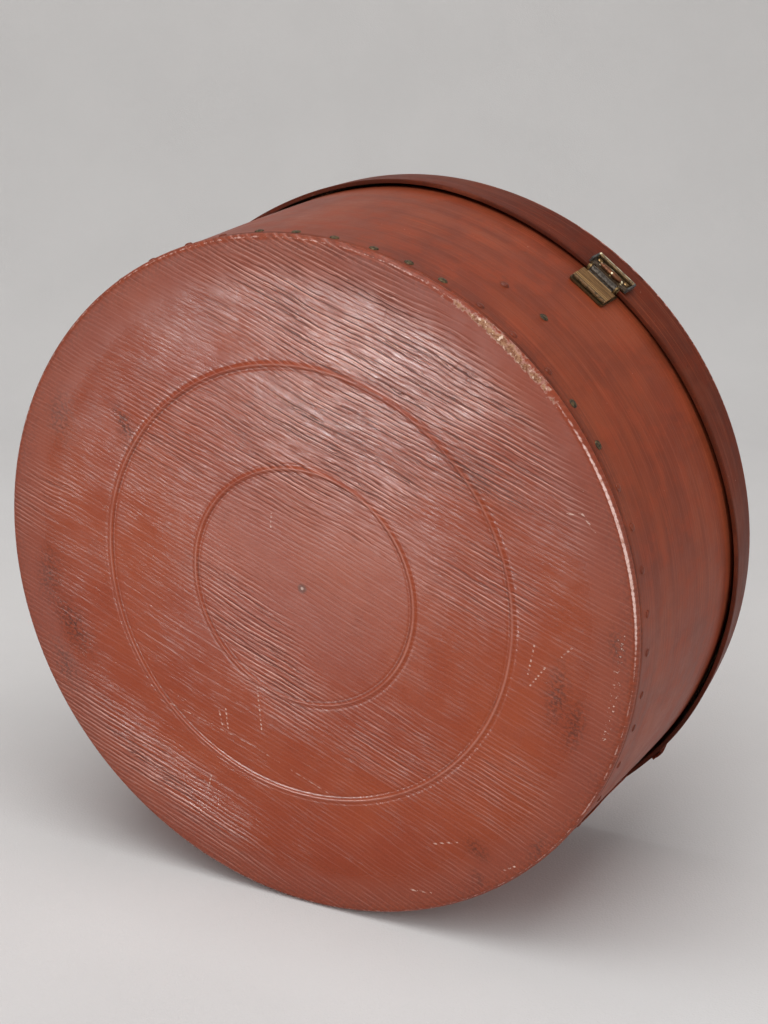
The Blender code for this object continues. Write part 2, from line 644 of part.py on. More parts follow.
def make_lever():
    """Ribbed lever that turns on the pin between the ears."""
    front = side_frame(FRONT)
    outline, (level, top) = lever_outline()
    lever = outline_solid("clasp_lever", outline, LEVER_WIDTH / 2, front, OLD_BRASS)
    centre = (0.0, LEVER_Y, LEVER_Z)
    barrel = rod("lever_barrel", centre, BARREL_RADIUS, LEVER_BARREL_LENGTH)
    reach = BODY_RADIUS + CLASP_PIN_STANDOFF
    web = [(level, top - LEVER_THICKNESS), (level + LEVER_THICKNESS, top - LEVER_THICKNESS)]
    web += [(reach, LEVER_Z - BARREL_RADIUS / 2), (reach - BARREL_RADIUS * 0.8, LEVER_Z)]
    neck = outline_solid("lever_neck", web, LEVER_BARREL_LENGTH / 2, front)
    combine(lever, [neck, barrel], "UNION")
    bore = rod("lever_bore", centre, BORE_RADIUS, CLASP_WIDTH + OVERRUN)
    combine(lever, [bore], "DIFFERENCE")
    return solidified(lever)


def make_keeper():
    """Stamped frame on the lid's skirt with a rounded nose, a lip and a tongue that drops behind the lever."""
    front = side_frame(FRONT)
    back = LID_RADIUS + FIT_GAP
    face = back + KEEPER_PLATE
    bottom = LID_RIM_HEIGHT + KEEPER_ABOVE_RIM
    top = bottom + KEEPER_HEIGHT
    half = KEEPER_WIDTH / 2
    keeper = block("clasp_keeper", (-half, -face, bottom), (half, -back, top), OLD_BRASS)

    joins = []
    wall_top = back + KEEPER_WALL_DEPTH
    for side in (-1, 1):
        inner, outer = sorted((side * half, side * (half - KEEPER_WALL)))
        joins.append(block("keeper_wall", (inner, -wall_top, bottom), (outer, -back, top)))
    bar = (0.0, -(wall_top - KEEPER_BAR_RADIUS / 2), top - KEEPER_BAR_RADIUS)
    joins.append(rod("keeper_bar", bar, KEEPER_BAR_RADIUS, KEEPER_WIDTH - KEEPER_WALL))
    joins.append(keeper_nose(face, bottom + KEEPER_NOSE_LIFT))
    joins.append(keeper_lip(face, wall_top, top))

    inside = BODY_RADIUS + TONGUE_STANDOFF
    outside = inside + TONGUE_THICKNESS
    step_top = LID_RIM_HEIGHT - TONGUE_BELOW_RIM
    step = step_top - TONGUE_JOGGLE
    tip = LID_RIM_HEIGHT - TONGUE_DROP
    riser = back + (KEEPER_PLATE - TONGUE_THICKNESS) / 2
    riser_top = bottom + KEEPER_PLATE
    tongue = [(inside, tip), (outside, tip), (outside, step), (riser + TONGUE_THICKNESS, step)]
    tongue += [(riser + TONGUE_THICKNESS, riser_top), (riser, riser_top), (riser, step_top), (inside, step_top)]
    joins.append(outline_solid("keeper_tongue", tongue, TONGUE_WIDTH / 2, front))
    combine(keeper, joins, "UNION")

    rivet_z = bottom + KEEPER_RIVET_LIFT
    holes = []
    for side in (-1, 1):
        holes.append(rivet_drill("keeper_plate_hole", FRONT, rivet_z, side * KEEPER_RIVET_SPACING / 2))
    combine(keeper, holes, "DIFFERENCE")
    solidified(keeper)
    depth = face - SKIRT_HOOP_INNER
    for side, tag in ((-1, "left"), (1, "right")):
        rivet("keeper_rivet_" + tag, face, FRONT, rivet_z, side * KEEPER_RIVET_SPACING / 2,
              depth, OLD_BRASS, burr=False)


def keeper_nose(face, height):
    """Rounded nose in the middle of the keeper."""
    work = bmesh.new()
    bmesh.ops.create_uvsphere(work, u_segments=SMALL_SEGMENTS, v_segments=8, radius=1.0)
    size = (KEEPER_NOSE_LENGTH / 2, KEEPER_NOSE_DEPTH, KEEPER_NOSE_RADIUS)
    turn = Matrix.Rotation(math.radians(90.0), 4, "Y")
    middle = face + KEEPER_NOSE_DEPTH - KEEPER_PLATE / 2
    shape = Matrix.Translation((0.0, -middle, height)) @ Matrix.Diagonal((*size, 1.0)) @ turn
    bmesh.ops.transform(work, matrix=shape, verts=work.verts)
    mesh = bpy.data.meshes.new("keeper_nose")
    work.to_mesh(mesh)
    work.free()
    return place("keeper_nose", mesh)


def keeper_lip(face, wall_top, top):
    """Wall along the keeper's upper edge, under the rolled bar."""
    half = (KEEPER_WIDTH - KEEPER_WALL) / 2
    middle = wall_top - KEEPER_BAR_RADIUS / 2
    return block("keeper_lip", (-half, -middle, top - KEEPER_WALL), (half, -face + KEEPER_PLATE / 2, top))


def make_hinge():
    """Butt hinge: the lower leaf on the wall, the upper leaf on the skirt, three knuckles on one pin."""
    centre = Vector((0.0, HINGE_Y, HINGE_Z))
    knuckle = (HINGE_WIDTH - HINGE_KNUCKLE) / 2 - FIT_GAP
    offset = HINGE_KNUCKLE / 2 + FIT_GAP + knuckle / 2
    bore = rod("hinge_bore", centre, BORE_RADIUS, HINGE_WIDTH + OVERRUN)

    back = BODY_RADIUS + FIT_GAP
    web_top = HINGE_Z - BARREL_RADIUS + HINGE_LEAF
    web_bottom = HINGE_Z - BARREL_RADIUS
    lower = curved_plate("hinge_leaf_lower", back, HINGE_LEAF, HINGE_WIDTH,
                         web_top - HINGE_LEAF_HEIGHT, web_top, BACK, OLD_BRASS)
    joins = []
    for side in (-1, 1):
        spot = centre + Vector((side * offset, 0.0, 0.0))
        joins.append(rod("lower_knuckle", spot, BARREL_RADIUS, knuckle))
        low_x, high_x = sorted((side * (offset - knuckle / 2), side * (offset + knuckle / 2)))
        joins.append(block("lower_web", (low_x, back, web_bottom), (high_x, HINGE_Y, web_top)))
    combine(lower, joins, "UNION")
    combine(lower, [bore], "DIFFERENCE")
    holes = [rivet_drill("lower_hole", BACK, LOWER_RIVET_Z, side * HINGE_RIVET_SPACING / 2)
             for side in (-1, 1)]
    combine(lower, holes, "DIFFERENCE")
    solidified(lower)

    skirt = LID_RADIUS + FIT_GAP
    plate_bottom = HINGE_Z + BARREL_RADIUS + FIT_GAP * 2
    upper = curved_plate("hinge_leaf_upper", skirt, HINGE_LEAF, HINGE_WIDTH, plate_bottom,
                         plate_bottom + HINGE_LEAF_HEIGHT, BACK, OLD_BRASS)
    barrel = rod("upper_knuckle", centre, BARREL_RADIUS, HINGE_KNUCKLE)
    half = HINGE_KNUCKLE / 2
    web = block("upper_web", (-half, skirt, HINGE_Z), (half, skirt + HINGE_LEAF, plate_bottom + HINGE_LEAF))
    combine(upper, [web, barrel], "UNION")
    combine(upper, [bore], "DIFFERENCE")
    holes = [rivet_drill("upper_hole", BACK, UPPER_RIVET_Z, side * HINGE_RIVET_SPACING / 2)
             for side in (-1, 1)]
    combine(upper, holes, "DIFFERENCE")
    solidified(upper)

    pin("hinge_pin", centre, HINGE_WIDTH + FIT_GAP * 2, OLD_BRASS)
    lower_grip = inner_depth(back + HINGE_LEAF, HINGE_RIVET_SPACING / 2)
    upper_grip = skirt + HINGE_LEAF - SKIRT_HOOP_INNER
    for side, tag in ((-1, "left"), (1, "right")):
        shift = side * HINGE_RIVET_SPACING / 2
        rivet("lower_rivet_" + tag, back + HINGE_LEAF, BACK, LOWER_RIVET_Z, shift, lower_grip, OLD_BRASS)
        rivet("upper_rivet_" + tag, skirt + HINGE_LEAF, BACK, UPPER_RIVET_Z, shift, upper_grip,
              OLD_BRASS, burr=False)


def make_handle_loop(name, centre_x):
    """Plate on the lid with two lugs and the bar that an end of the handle turns on."""
    bottom = TOTAL_HEIGHT + FIT_GAP
    half_length = LOOP_PLATE_LENGTH / 2
    half_width = LOOP_PLATE_WIDTH / 2
    plate = block(name, (centre_x - half_width, -half_length, bottom),
                  (centre_x + half_width, half_length, bottom + LOOP_PLATE), OLD_BRASS)
    lug = [(-half_length / 2, bottom + LOOP_PLATE / 2)]
    lug += [(half_length / 2, bottom + LOOP_PLATE / 2)]
    lug += arc((0.0, HANDLE_Z), LOOP_LUG_RADIUS, 0.0, math.radians(180.0), 6)
    joins = []
    offset = HANDLE_END_WIDTH / 2 + LOOP_LUG_GAP + LOOP_LUG / 2
    for side in (-1, 1):
        shift = Matrix.Translation((centre_x + side * offset, 0.0, 0.0))
        joins.append(outline_solid("loop_lug", lug, LOOP_LUG / 2, shift @ side_frame(BACK)))
    joins.append(rod("loop_bar", (centre_x, 0.0, HANDLE_Z), LOOP_BAR_RADIUS, 2 * offset))
    combine(plate, joins, "UNION")
    return solidified(plate)


def make_handle():
    """Leather grip, stored lying over towards the clasp."""
    half = HANDLE_SPAN / 2
    route_shares = ((-1.0, 0.0), (-0.99, 0.40), (-0.90, 0.78), (-0.68, 0.97), (-0.34, 1.0),
                    (0.34, 1.0), (0.68, 0.97), (0.90, 0.78), (0.99, 0.40), (1.0, 0.0))
    swell_shares = (0.0, 0.0, 0.15, 0.6, 1.0, 1.0, 0.6, 0.15, 0.0, 0.0)
    curve = bpy.data.curves.new("handle_route", "CURVE")
    curve.dimensions = "3D"
    curve.bevel_depth = 1.0
    curve.bevel_resolution = 1
    curve.use_fill_caps = True
    spline = curve.splines.new("POLY")
    spline.points.add(len(route_shares) - 1)
    start = HANDLE_END_RADIUS * 0.7
    for point, (across, out), swell in zip(spline.points, route_shares, swell_shares):
        point.co = (across * half, -(start + out * (HANDLE_REACH - start)), HANDLE_Z, 1.0)
        point.radius = HANDLE_NECK_RADIUS + swell * (HANDLE_GRIP_RADIUS - HANDLE_NECK_RADIUS)
    grip = from_curve("handle_grip", curve, Matrix.Identity(4), DARK_LEATHER)
    ends = []
    holes = []
    for side in (-1, 1):
        spot = (side * half, 0.0, HANDLE_Z)
        ends.append(rod("handle_end", spot, HANDLE_END_RADIUS, HANDLE_END_WIDTH, segments=16))
        holes.append(rod("handle_hole", spot, LOOP_BAR_RADIUS + FIT_GAP, HANDLE_END_WIDTH + OVERRUN))
    combine(grip, ends, "UNION")
    combine(grip, holes, "DIFFERENCE")
    solidified(grip)
    make_handle_loop("handle_loop_left", -half)
    make_handle_loop("handle_loop_right", half)


def joint_empty(name, place_at, names):
    """Parents the pieces of a moving body to an empty on its joint's axis."""
    empty = bpy.data.objects.new(name, None)
    PARTS.objects.link(empty)
    empty.location = place_at
    for piece in names:
        item = PARTS.objects[piece]
        item.parent = empty
        item.matrix_parent_inverse = Matrix.Translation(place_at).inverted()


LOWER_RIVET_Z = HINGE_Z - BARREL_RADIUS + HINGE_LEAF - HINGE_LEAF_HEIGHT / 2
UPPER_RIVET_Z = HINGE_Z + BARREL_RADIUS + FIT_GAP * 2 + HINGE_LEAF_HEIGHT / 2

clear_scene()
PARTS = new_collection("hatbox")
CUTTERS = new_collection("cutters")
RED_CLOTH = new_material("red_cloth", (0.235, 0.062, 0.040), 0.42)
FIBRE_BOARD = new_material("fibre_board", (0.200, 0.110, 0.060), 0.80)
BENT_WOOD = new_material("bent_wood", (0.420, 0.270, 0.140), 0.70)
PAPER = new_material("paper", (0.560, 0.470, 0.340), 0.90)
DARK_LEATHER = new_material("dark_leather", (0.120, 0.036, 0.024), 0.50)
OLD_BRASS = new_material("old_brass", (0.300, 0.200, 0.080), 0.40, 1.0)
DARK_IRON = new_material("dark_iron", (0.060, 0.055, 0.045), 0.50, 0.8)

make_base()
make_wall()
make_lid()
make_clasp_plate()
make_lever()
make_keeper()
make_hinge()
make_handle()

for thing in list(PARTS.objects):
    if thing.type == "MESH" and thing.modifiers:
        solidified(thing)

LID_PIECES = ("lid_panel", "lid_lining", "lid_hoop", "lid_cover", "skirt_cover", "skirt_lap",
              "clasp_keeper", "keeper_rivet_left", "keeper_rivet_right", "hinge_leaf_upper",
              "upper_rivet_left", "upper_rivet_right", "handle_loop_left", "handle_loop_right")
joint_empty("lid_axis", (0.0, HINGE_Y, HINGE_Z), LID_PIECES)
joint_empty("lever_axis", (0.0, LEVER_Y, LEVER_Z), ("clasp_lever",))
joint_empty("handle_axis", (0.0, 0.0, HANDLE_Z), ("handle_grip",))
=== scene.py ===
"""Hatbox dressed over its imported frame: ribbed red cloth, nails, old brass, linings and a plain studio.

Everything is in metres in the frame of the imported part: +Z up, clasp towards -Y, hinge towards +Y.
The photograph shows the box tipped over on its side, so the camera looks up at the base from below
and the studio's floor touches the side of the box.
"""
import math

import bmesh
import bpy
import numpy as np
from mathutils import Matrix, Vector


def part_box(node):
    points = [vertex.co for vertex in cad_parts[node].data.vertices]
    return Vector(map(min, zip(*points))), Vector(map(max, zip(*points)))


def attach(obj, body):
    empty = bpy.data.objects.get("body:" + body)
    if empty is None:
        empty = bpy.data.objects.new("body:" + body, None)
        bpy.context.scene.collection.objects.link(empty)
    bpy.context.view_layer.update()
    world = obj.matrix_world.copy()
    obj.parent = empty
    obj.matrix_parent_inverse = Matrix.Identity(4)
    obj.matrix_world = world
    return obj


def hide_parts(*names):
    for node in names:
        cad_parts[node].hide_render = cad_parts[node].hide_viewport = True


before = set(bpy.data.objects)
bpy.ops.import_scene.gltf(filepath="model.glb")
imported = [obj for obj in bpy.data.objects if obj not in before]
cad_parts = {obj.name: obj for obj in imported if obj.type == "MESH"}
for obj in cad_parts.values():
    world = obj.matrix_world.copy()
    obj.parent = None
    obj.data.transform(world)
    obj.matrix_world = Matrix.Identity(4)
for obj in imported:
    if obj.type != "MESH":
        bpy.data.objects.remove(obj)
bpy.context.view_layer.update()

# Cloth, boards, beads and edges
CLOTH = 0.0008
SEAM = 0.0003
WALL_HOOP = 0.0032
SKIRT_HOOP = 0.0017
EDGE_RADIUS = 0.0040
DISH_DEPTH = 0.0012
BEADS = (0.0807, 0.1483)
BEAD_WIDTH = 0.0050
BEAD_HEIGHT = 0.0010
BEAD_FLATTENED = 0.8
BEAD_REACH = 0.00115
DITCH_OFFSET = 0.0027
DITCH_REACH = 0.0009
DITCH_SHARE = 0.22
RIB_PITCH = 0.0031
RIB_AZIMUTH = math.radians(-16.5)

# The cloth's hollow slopes over a wider stretch than the board's upper face
LAND_INNER = 0.2060
DISH_SLOPE = 0.0440
BOARD_LAND = 0.1600
BOARD_SLOPE = 0.0080

# Sizes read from the frame
BODY_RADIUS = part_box("base_cover")[1].y
LID_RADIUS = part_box("lid_cover")[1].y
WALL_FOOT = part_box("base_cover")[1].z
WALL_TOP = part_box("wall_cover")[1].z
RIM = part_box("skirt_cover")[0].z
HOOP_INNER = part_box("wall_hoop")[1].y - WALL_HOOP
SKIRT_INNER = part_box("lid_hoop")[1].y - SKIRT_HOOP
LID_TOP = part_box("lid_cover")[1].z - BEAD_HEIGHT
SKIRT_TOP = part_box("skirt_cover")[1].z

# Where and how far the lid's rim stands out, as neither clasp nor hinge holds it: (distance, azimuth, reach)
RIM_HUMPS = ((0.0062, -33.0, 29.0), (0.0038, -127.0, 19.0), (0.0016, 38.0, 22.0), (0.0020, 145.0, 24.0),
             (-0.0006, -90.0, 9.0), (0.0014, -6.0, 12.0))

# How this dies out up the skirt, and how the wall follows it
FLARE_POWER = 0.85
WALL_FOLLOW = 0.8
WALL_STIFF = 0.015

# Nails
NAIL_HEIGHT = 0.0128
NAIL_TILT = 0.0040
NAIL_RADIUS = 0.0031
COATED_SHARE = 0.86
NAIL_CROWN = 0.0011
NAIL_SINK = 0.0006
NAIL_COUNT = 54
NAIL_START = math.radians(-89.2)
BARE_NAILS = (2, 3, 47, 48, 49, 50, 51, 52)

# Meshes
WELD = 0.000002
SEGMENTS = 384
STEP = 0.0030
FINE_STEP = 0.0004
TAU = math.tau

# Camera and studio, from the camera fitted to the photograph
CAMERA_PLACE = Vector((0.19062, -0.75297, -1.03686))
CAMERA_RIGHT = Vector((0.70763, -0.53203, 0.46498))
CAMERA_UP = Vector((-0.69161, -0.65631, 0.30157))
LENS = 70.83
FLOOR_UP = Vector((-0.61351, -0.78908, 0.03082))
FLOOR_LEVEL = -0.2304
NEAR_CLOTH = (0.700, 0.685, 0.678)
FAR_CLOTH = (0.720, 0.706, 0.692)

# Tones of the cloths
BASE_TONE = (0.325, 0.055, 0.021)
WALL_TONE = (0.236, 0.039, 0.0135)
SKIRT_TONE = (0.126, 0.0185, 0.0060)

# Scratches of the base, from one point to another
SCRATCHES = ((-0.046, -0.025, -0.041, -0.017), (0.008, 0.120, 0.016, 0.127), (0.010, 0.114, 0.021, 0.126),
             (0.018, 0.083, 0.039, 0.106), (0.032, 0.165, 0.037, 0.177), (0.134, -0.093, 0.143, -0.075),
             (0.149, -0.069, 0.148, -0.088), (0.151, -0.101, 0.152, -0.112), (0.095, -0.174, 0.103, -0.182),
             (0.103, -0.182, 0.116, -0.179), (0.217, 0.044, 0.220, 0.036), (0.181, 0.112, 0.194, 0.100),
             (0.173, 0.070, 0.184, 0.054))
FAINT_LINES = ((-0.021, 0.146, 0.040, 0.121), (0.040, 0.121, 0.105, 0.102))
CHAINS = ((0.169, -0.141, 0.188, -0.111), (0.188, -0.111, 0.204, -0.080))

# Stains of the base and patches where its ribs are deeply pressed and carry painted sheen:
# (x, y, radius along, radius across, azimuth, strength)
STAINS = ((-0.144, 0.142, 0.022, 0.010, 60, 0.7), (-0.110, 0.159, 0.020, 0.010, 20, 0.9),
          (-0.097, 0.189, 0.022, 0.010, 30, 0.7), (-0.161, 0.007, 0.014, 0.006, 30, 0.9),
          (-0.201, 0.038, 0.018, 0.012, 60, 0.6), (0.165, -0.079, 0.020, 0.007, 60, 0.8),
          (0.185, -0.072, 0.016, 0.007, 60, 0.8), (0.172, -0.133, 0.012, 0.006, 40, 0.8),
          (0.196, 0.048, 0.010, 0.005, 0, 0.8), (0.210, 0.063, 0.008, 0.004, 0, 0.7),
          (0.223, 0.015, 0.014, 0.006, 80, 0.7), (0.040, -0.150, 0.040, 0.012, -16, 0.35),
          (-0.060, -0.100, 0.050, 0.014, -16, 0.35))
SHEEN_AND_DEEP_RIBS = ((-0.042, -0.166, 0.128, 0.062, -12, 1.30), (-0.045, -0.080, 0.085, 0.050, -30, 0.95),
             (-0.128, -0.020, 0.052, 0.064, 0, 0.62), (0.000, 0.056, 0.065, 0.024, 15, 1.10),
             (0.112, 0.040, 0.050, 0.032, -35, 0.62), (0.085, -0.100, 0.050, 0.038, -20, 0.62),
             (0.000, 0.196, 0.095, 0.024, -4, 0.85), (0.178, 0.000, 0.032, 0.040, 70, 0.42),
             (-0.178, 0.095, 0.020, 0.050, 20, 0.50))

# Waves of the base's board, and the place where it is swollen
WAVE_HEIGHT = 0.00032
SWELLING = (0.010, -0.165, 0.060, 0.038, -10, 1.0)
SWELLING_HEIGHT = 0.0010

# Painted glints on the keeper: (x, z, radius)
PAINTED_GLINTS = ((-0.0092, 0.1590, 0.0010), (0.0092, 0.1582, 0.0011), (0.0005, 0.1566, 0.0008),
               (0.0112, 0.1622, 0.0006), (-0.0150, 0.1672, 0.0010))


class Value:
    """Output of a node that sums and products of a material are written with."""

    def __init__(self, graph, socket):
        self.graph = graph
        self.socket = socket

    def __add__(self, other):
        return self.graph.math("ADD", self, other)

    def __sub__(self, other):
        return self.graph.math("SUBTRACT", self, other)

    def __rsub__(self, other):
        return self.graph.math("SUBTRACT", other, self)

    def __mul__(self, other):
        return self.graph.math("MULTIPLY", self, other)


class Graph:
    """Short calls for the nodes of one material."""

    def __init__(self, name):
        self.material = bpy.data.materials.new(name)
        self.material.use_nodes = True
        self.tree = self.material.node_tree
        self.tree.nodes.clear()

    def node(self, kind, inputs, **settings):
        """Adds a node, sets it up and feeds its sockets, which are named or numbered."""
        node = self.tree.nodes.new(kind)
        for key, value in settings.items():
            setattr(node, key, value)
        for key, value in inputs.items():
            if isinstance(value, Value):
                self.tree.links.new(value.socket, node.inputs[key])
            else:
                node.inputs[key].default_value = value
        return node

    def value(self, kind, inputs, output=0, **settings):
        return Value(self, self.node(kind, inputs, **settings).outputs[output])

    def math(self, operation, first, second=0.0, clamp=False):
        return self.value("ShaderNodeMath", {0: first, 1: second}, operation=operation, use_clamp=clamp)

    def vector_math(self, operation, first, second, output="Vector"):
        return self.value("ShaderNodeVectorMath", {0: first, 1: second}, output, operation=operation)

    def most(self, first, second):
        return self.math("MAXIMUM", first, second)

    def least(self, first, second):
        return self.math("MINIMUM", first, second)

    def cosine(self, turns):
        return self.math("COSINE", turns * TAU)

    def fade(self, value, low, high, start=0.0, end=1.0):
        """Smooth step from start at low to end at high."""
        inputs = {"Value": value, "From Min": low, "From Max": high, "To Min": start, "To Max": end}
        return self.value("ShaderNodeMapRange", inputs, interpolation_type="SMOOTHSTEP")

    def near(self, value, centre, reach):
        """1 at the centre, 0 beyond the reach."""
        return self.fade(self.math("ABSOLUTE", value - centre), reach, 0.0)

    def vector(self, x, y, z=0.0):
        return self.value("ShaderNodeCombineXYZ", {0: x, 1: y, 2: z})

    def place(self):
        """Object coordinates as a vector and its three parts."""
        vector = self.value("ShaderNodeTexCoord", {}, "Object")
        parts = self.node("ShaderNodeSeparateXYZ", {0: vector}).outputs
        return vector, *(Value(self, part) for part in parts)

    def polar(self, x, y):
        """Distance from the axis and azimuth in degrees."""
        return self.math("SQRT", x * x + y * y), self.math("ARCTAN2", y, x) * (180.0 / math.pi)

    def noise(self, vector, scale, detail=2.0, roughness=0.5, distortion=0.0):
        inputs = {"Vector": vector, "Scale": scale, "Detail": detail, "Roughness": roughness,
                  "Distortion": distortion}
        return self.value("ShaderNodeTexNoise", inputs)

    def streaks(self, along, across, along_scale, across_scale, detail=2.0, roughness=0.5):
        """Noise drawn out one way."""
        return self.noise(self.vector(along * along_scale, across * across_scale), 1.0, detail, roughness)

    def cells(self, vector, scale, feature="F1"):
        inputs = {"Vector": vector, "Scale": scale}
        return self.value("ShaderNodeTexVoronoi", inputs, "Distance", feature=feature)

    def painted(self, name):
        """A mask kept on the mesh's points."""
        return self.value("ShaderNodeAttribute", {}, "Fac", attribute_name=name)

    def mix(self, share, first, second):
        """Two colours mixed, each a node's output or red, green and blue."""
        inputs = {0: share}
        for key, colour in ((6, first), (7, second)):
            inputs[key] = (*colour, 1.0) if isinstance(colour, tuple) else colour
        return self.value("ShaderNodeMix", inputs, 2, data_type="RGBA")

    def stroke(self, place, start, end, width):
        """1 on a straight stroke between two points of the base, 0 beyond its width."""
        span = Vector((*end, 0.0)) - Vector((*start, 0.0))
        flat = self.vector_math("MULTIPLY", place, (1.0, 1.0, 0.0))
        offset = self.vector_math("SUBTRACT", flat, (*start, 0.0))
        share = self.vector_math("DOT_PRODUCT", offset, span / span.length_squared, "Value")
        share = self.math("ADD", share, 0.0, clamp=True)
        away = self.vector_math("DISTANCE", offset, self.vector_math("MULTIPLY", share, span), "Value")
        return self.fade(away, width, width * 0.3)

    def strokes(self, place, marks, width):
        total = 0.0
        for mark in marks:
            total = self.most(total, self.stroke(place, mark[:2], mark[2:], width))
        return total

    def bump(self, height, depth):
        return self.value("ShaderNodeBump", {"Height": height, "Distance": depth})

    def surface(self, colour, roughness, normal, metallic=0.0, specular=0.5):
        inputs = {"Base Color": colour, "Roughness": roughness, "Normal": normal, "Metallic": metallic,
                  "Specular IOR Level": specular}
        self.node("ShaderNodeOutputMaterial", {"Surface": self.value("ShaderNodeBsdfPrincipled", inputs)})
        return self.material


def flat_route(graph):
    """Lengths along and across the ribs of a flat piece."""
    _, x, y, _ = graph.place()
    cosine, sine = math.cos(RIB_AZIMUTH), math.sin(RIB_AZIMUTH)
    return x * cosine + y * sine, x * -sine + y * cosine


def round_route(graph):
    """Lengths round the box and up it, joined under the laps at the right-hand side."""
    _, x, y, z = graph.place()
    azimuth = graph.math("ARCTAN2", y * -1.0, x * -1.0)
    return azimuth * BODY_RADIUS, z


def tint(tone, share):
    """A tone made darker or lighter."""
    return tuple(value * share for value in tone)


def rib_waves(graph, along, across):
    """Wave of the wavering ribs, their crests and their grooves, some of which fork."""
    slow = graph.streaks(along, across, 6.5, 9.0)
    middle = graph.streaks(along, across, 24.0, 70.0)
    quick = graph.streaks(along, across, 62.0, 300.0)
    phase = across * (1.0 / RIB_PITCH) + slow * 4.2 + middle * 0.9 + quick * 0.46
    wave = graph.cosine(phase)
    fine = graph.cosine(phase * 2.0 + quick * 1.6)
    crest = graph.fade(graph.cosine(phase + 0.14), 0.50, 1.0) + graph.fade(fine, 0.5, 1.0) * 0.30
    fork = graph.fade(graph.streaks(along, across, 19.0, 120.0), 0.42, 0.56) * 0.85
    groove = graph.most(graph.fade(wave, -0.62, -0.98), graph.fade(fine, -0.60, -1.0) * fork)
    return wave, crest, groove


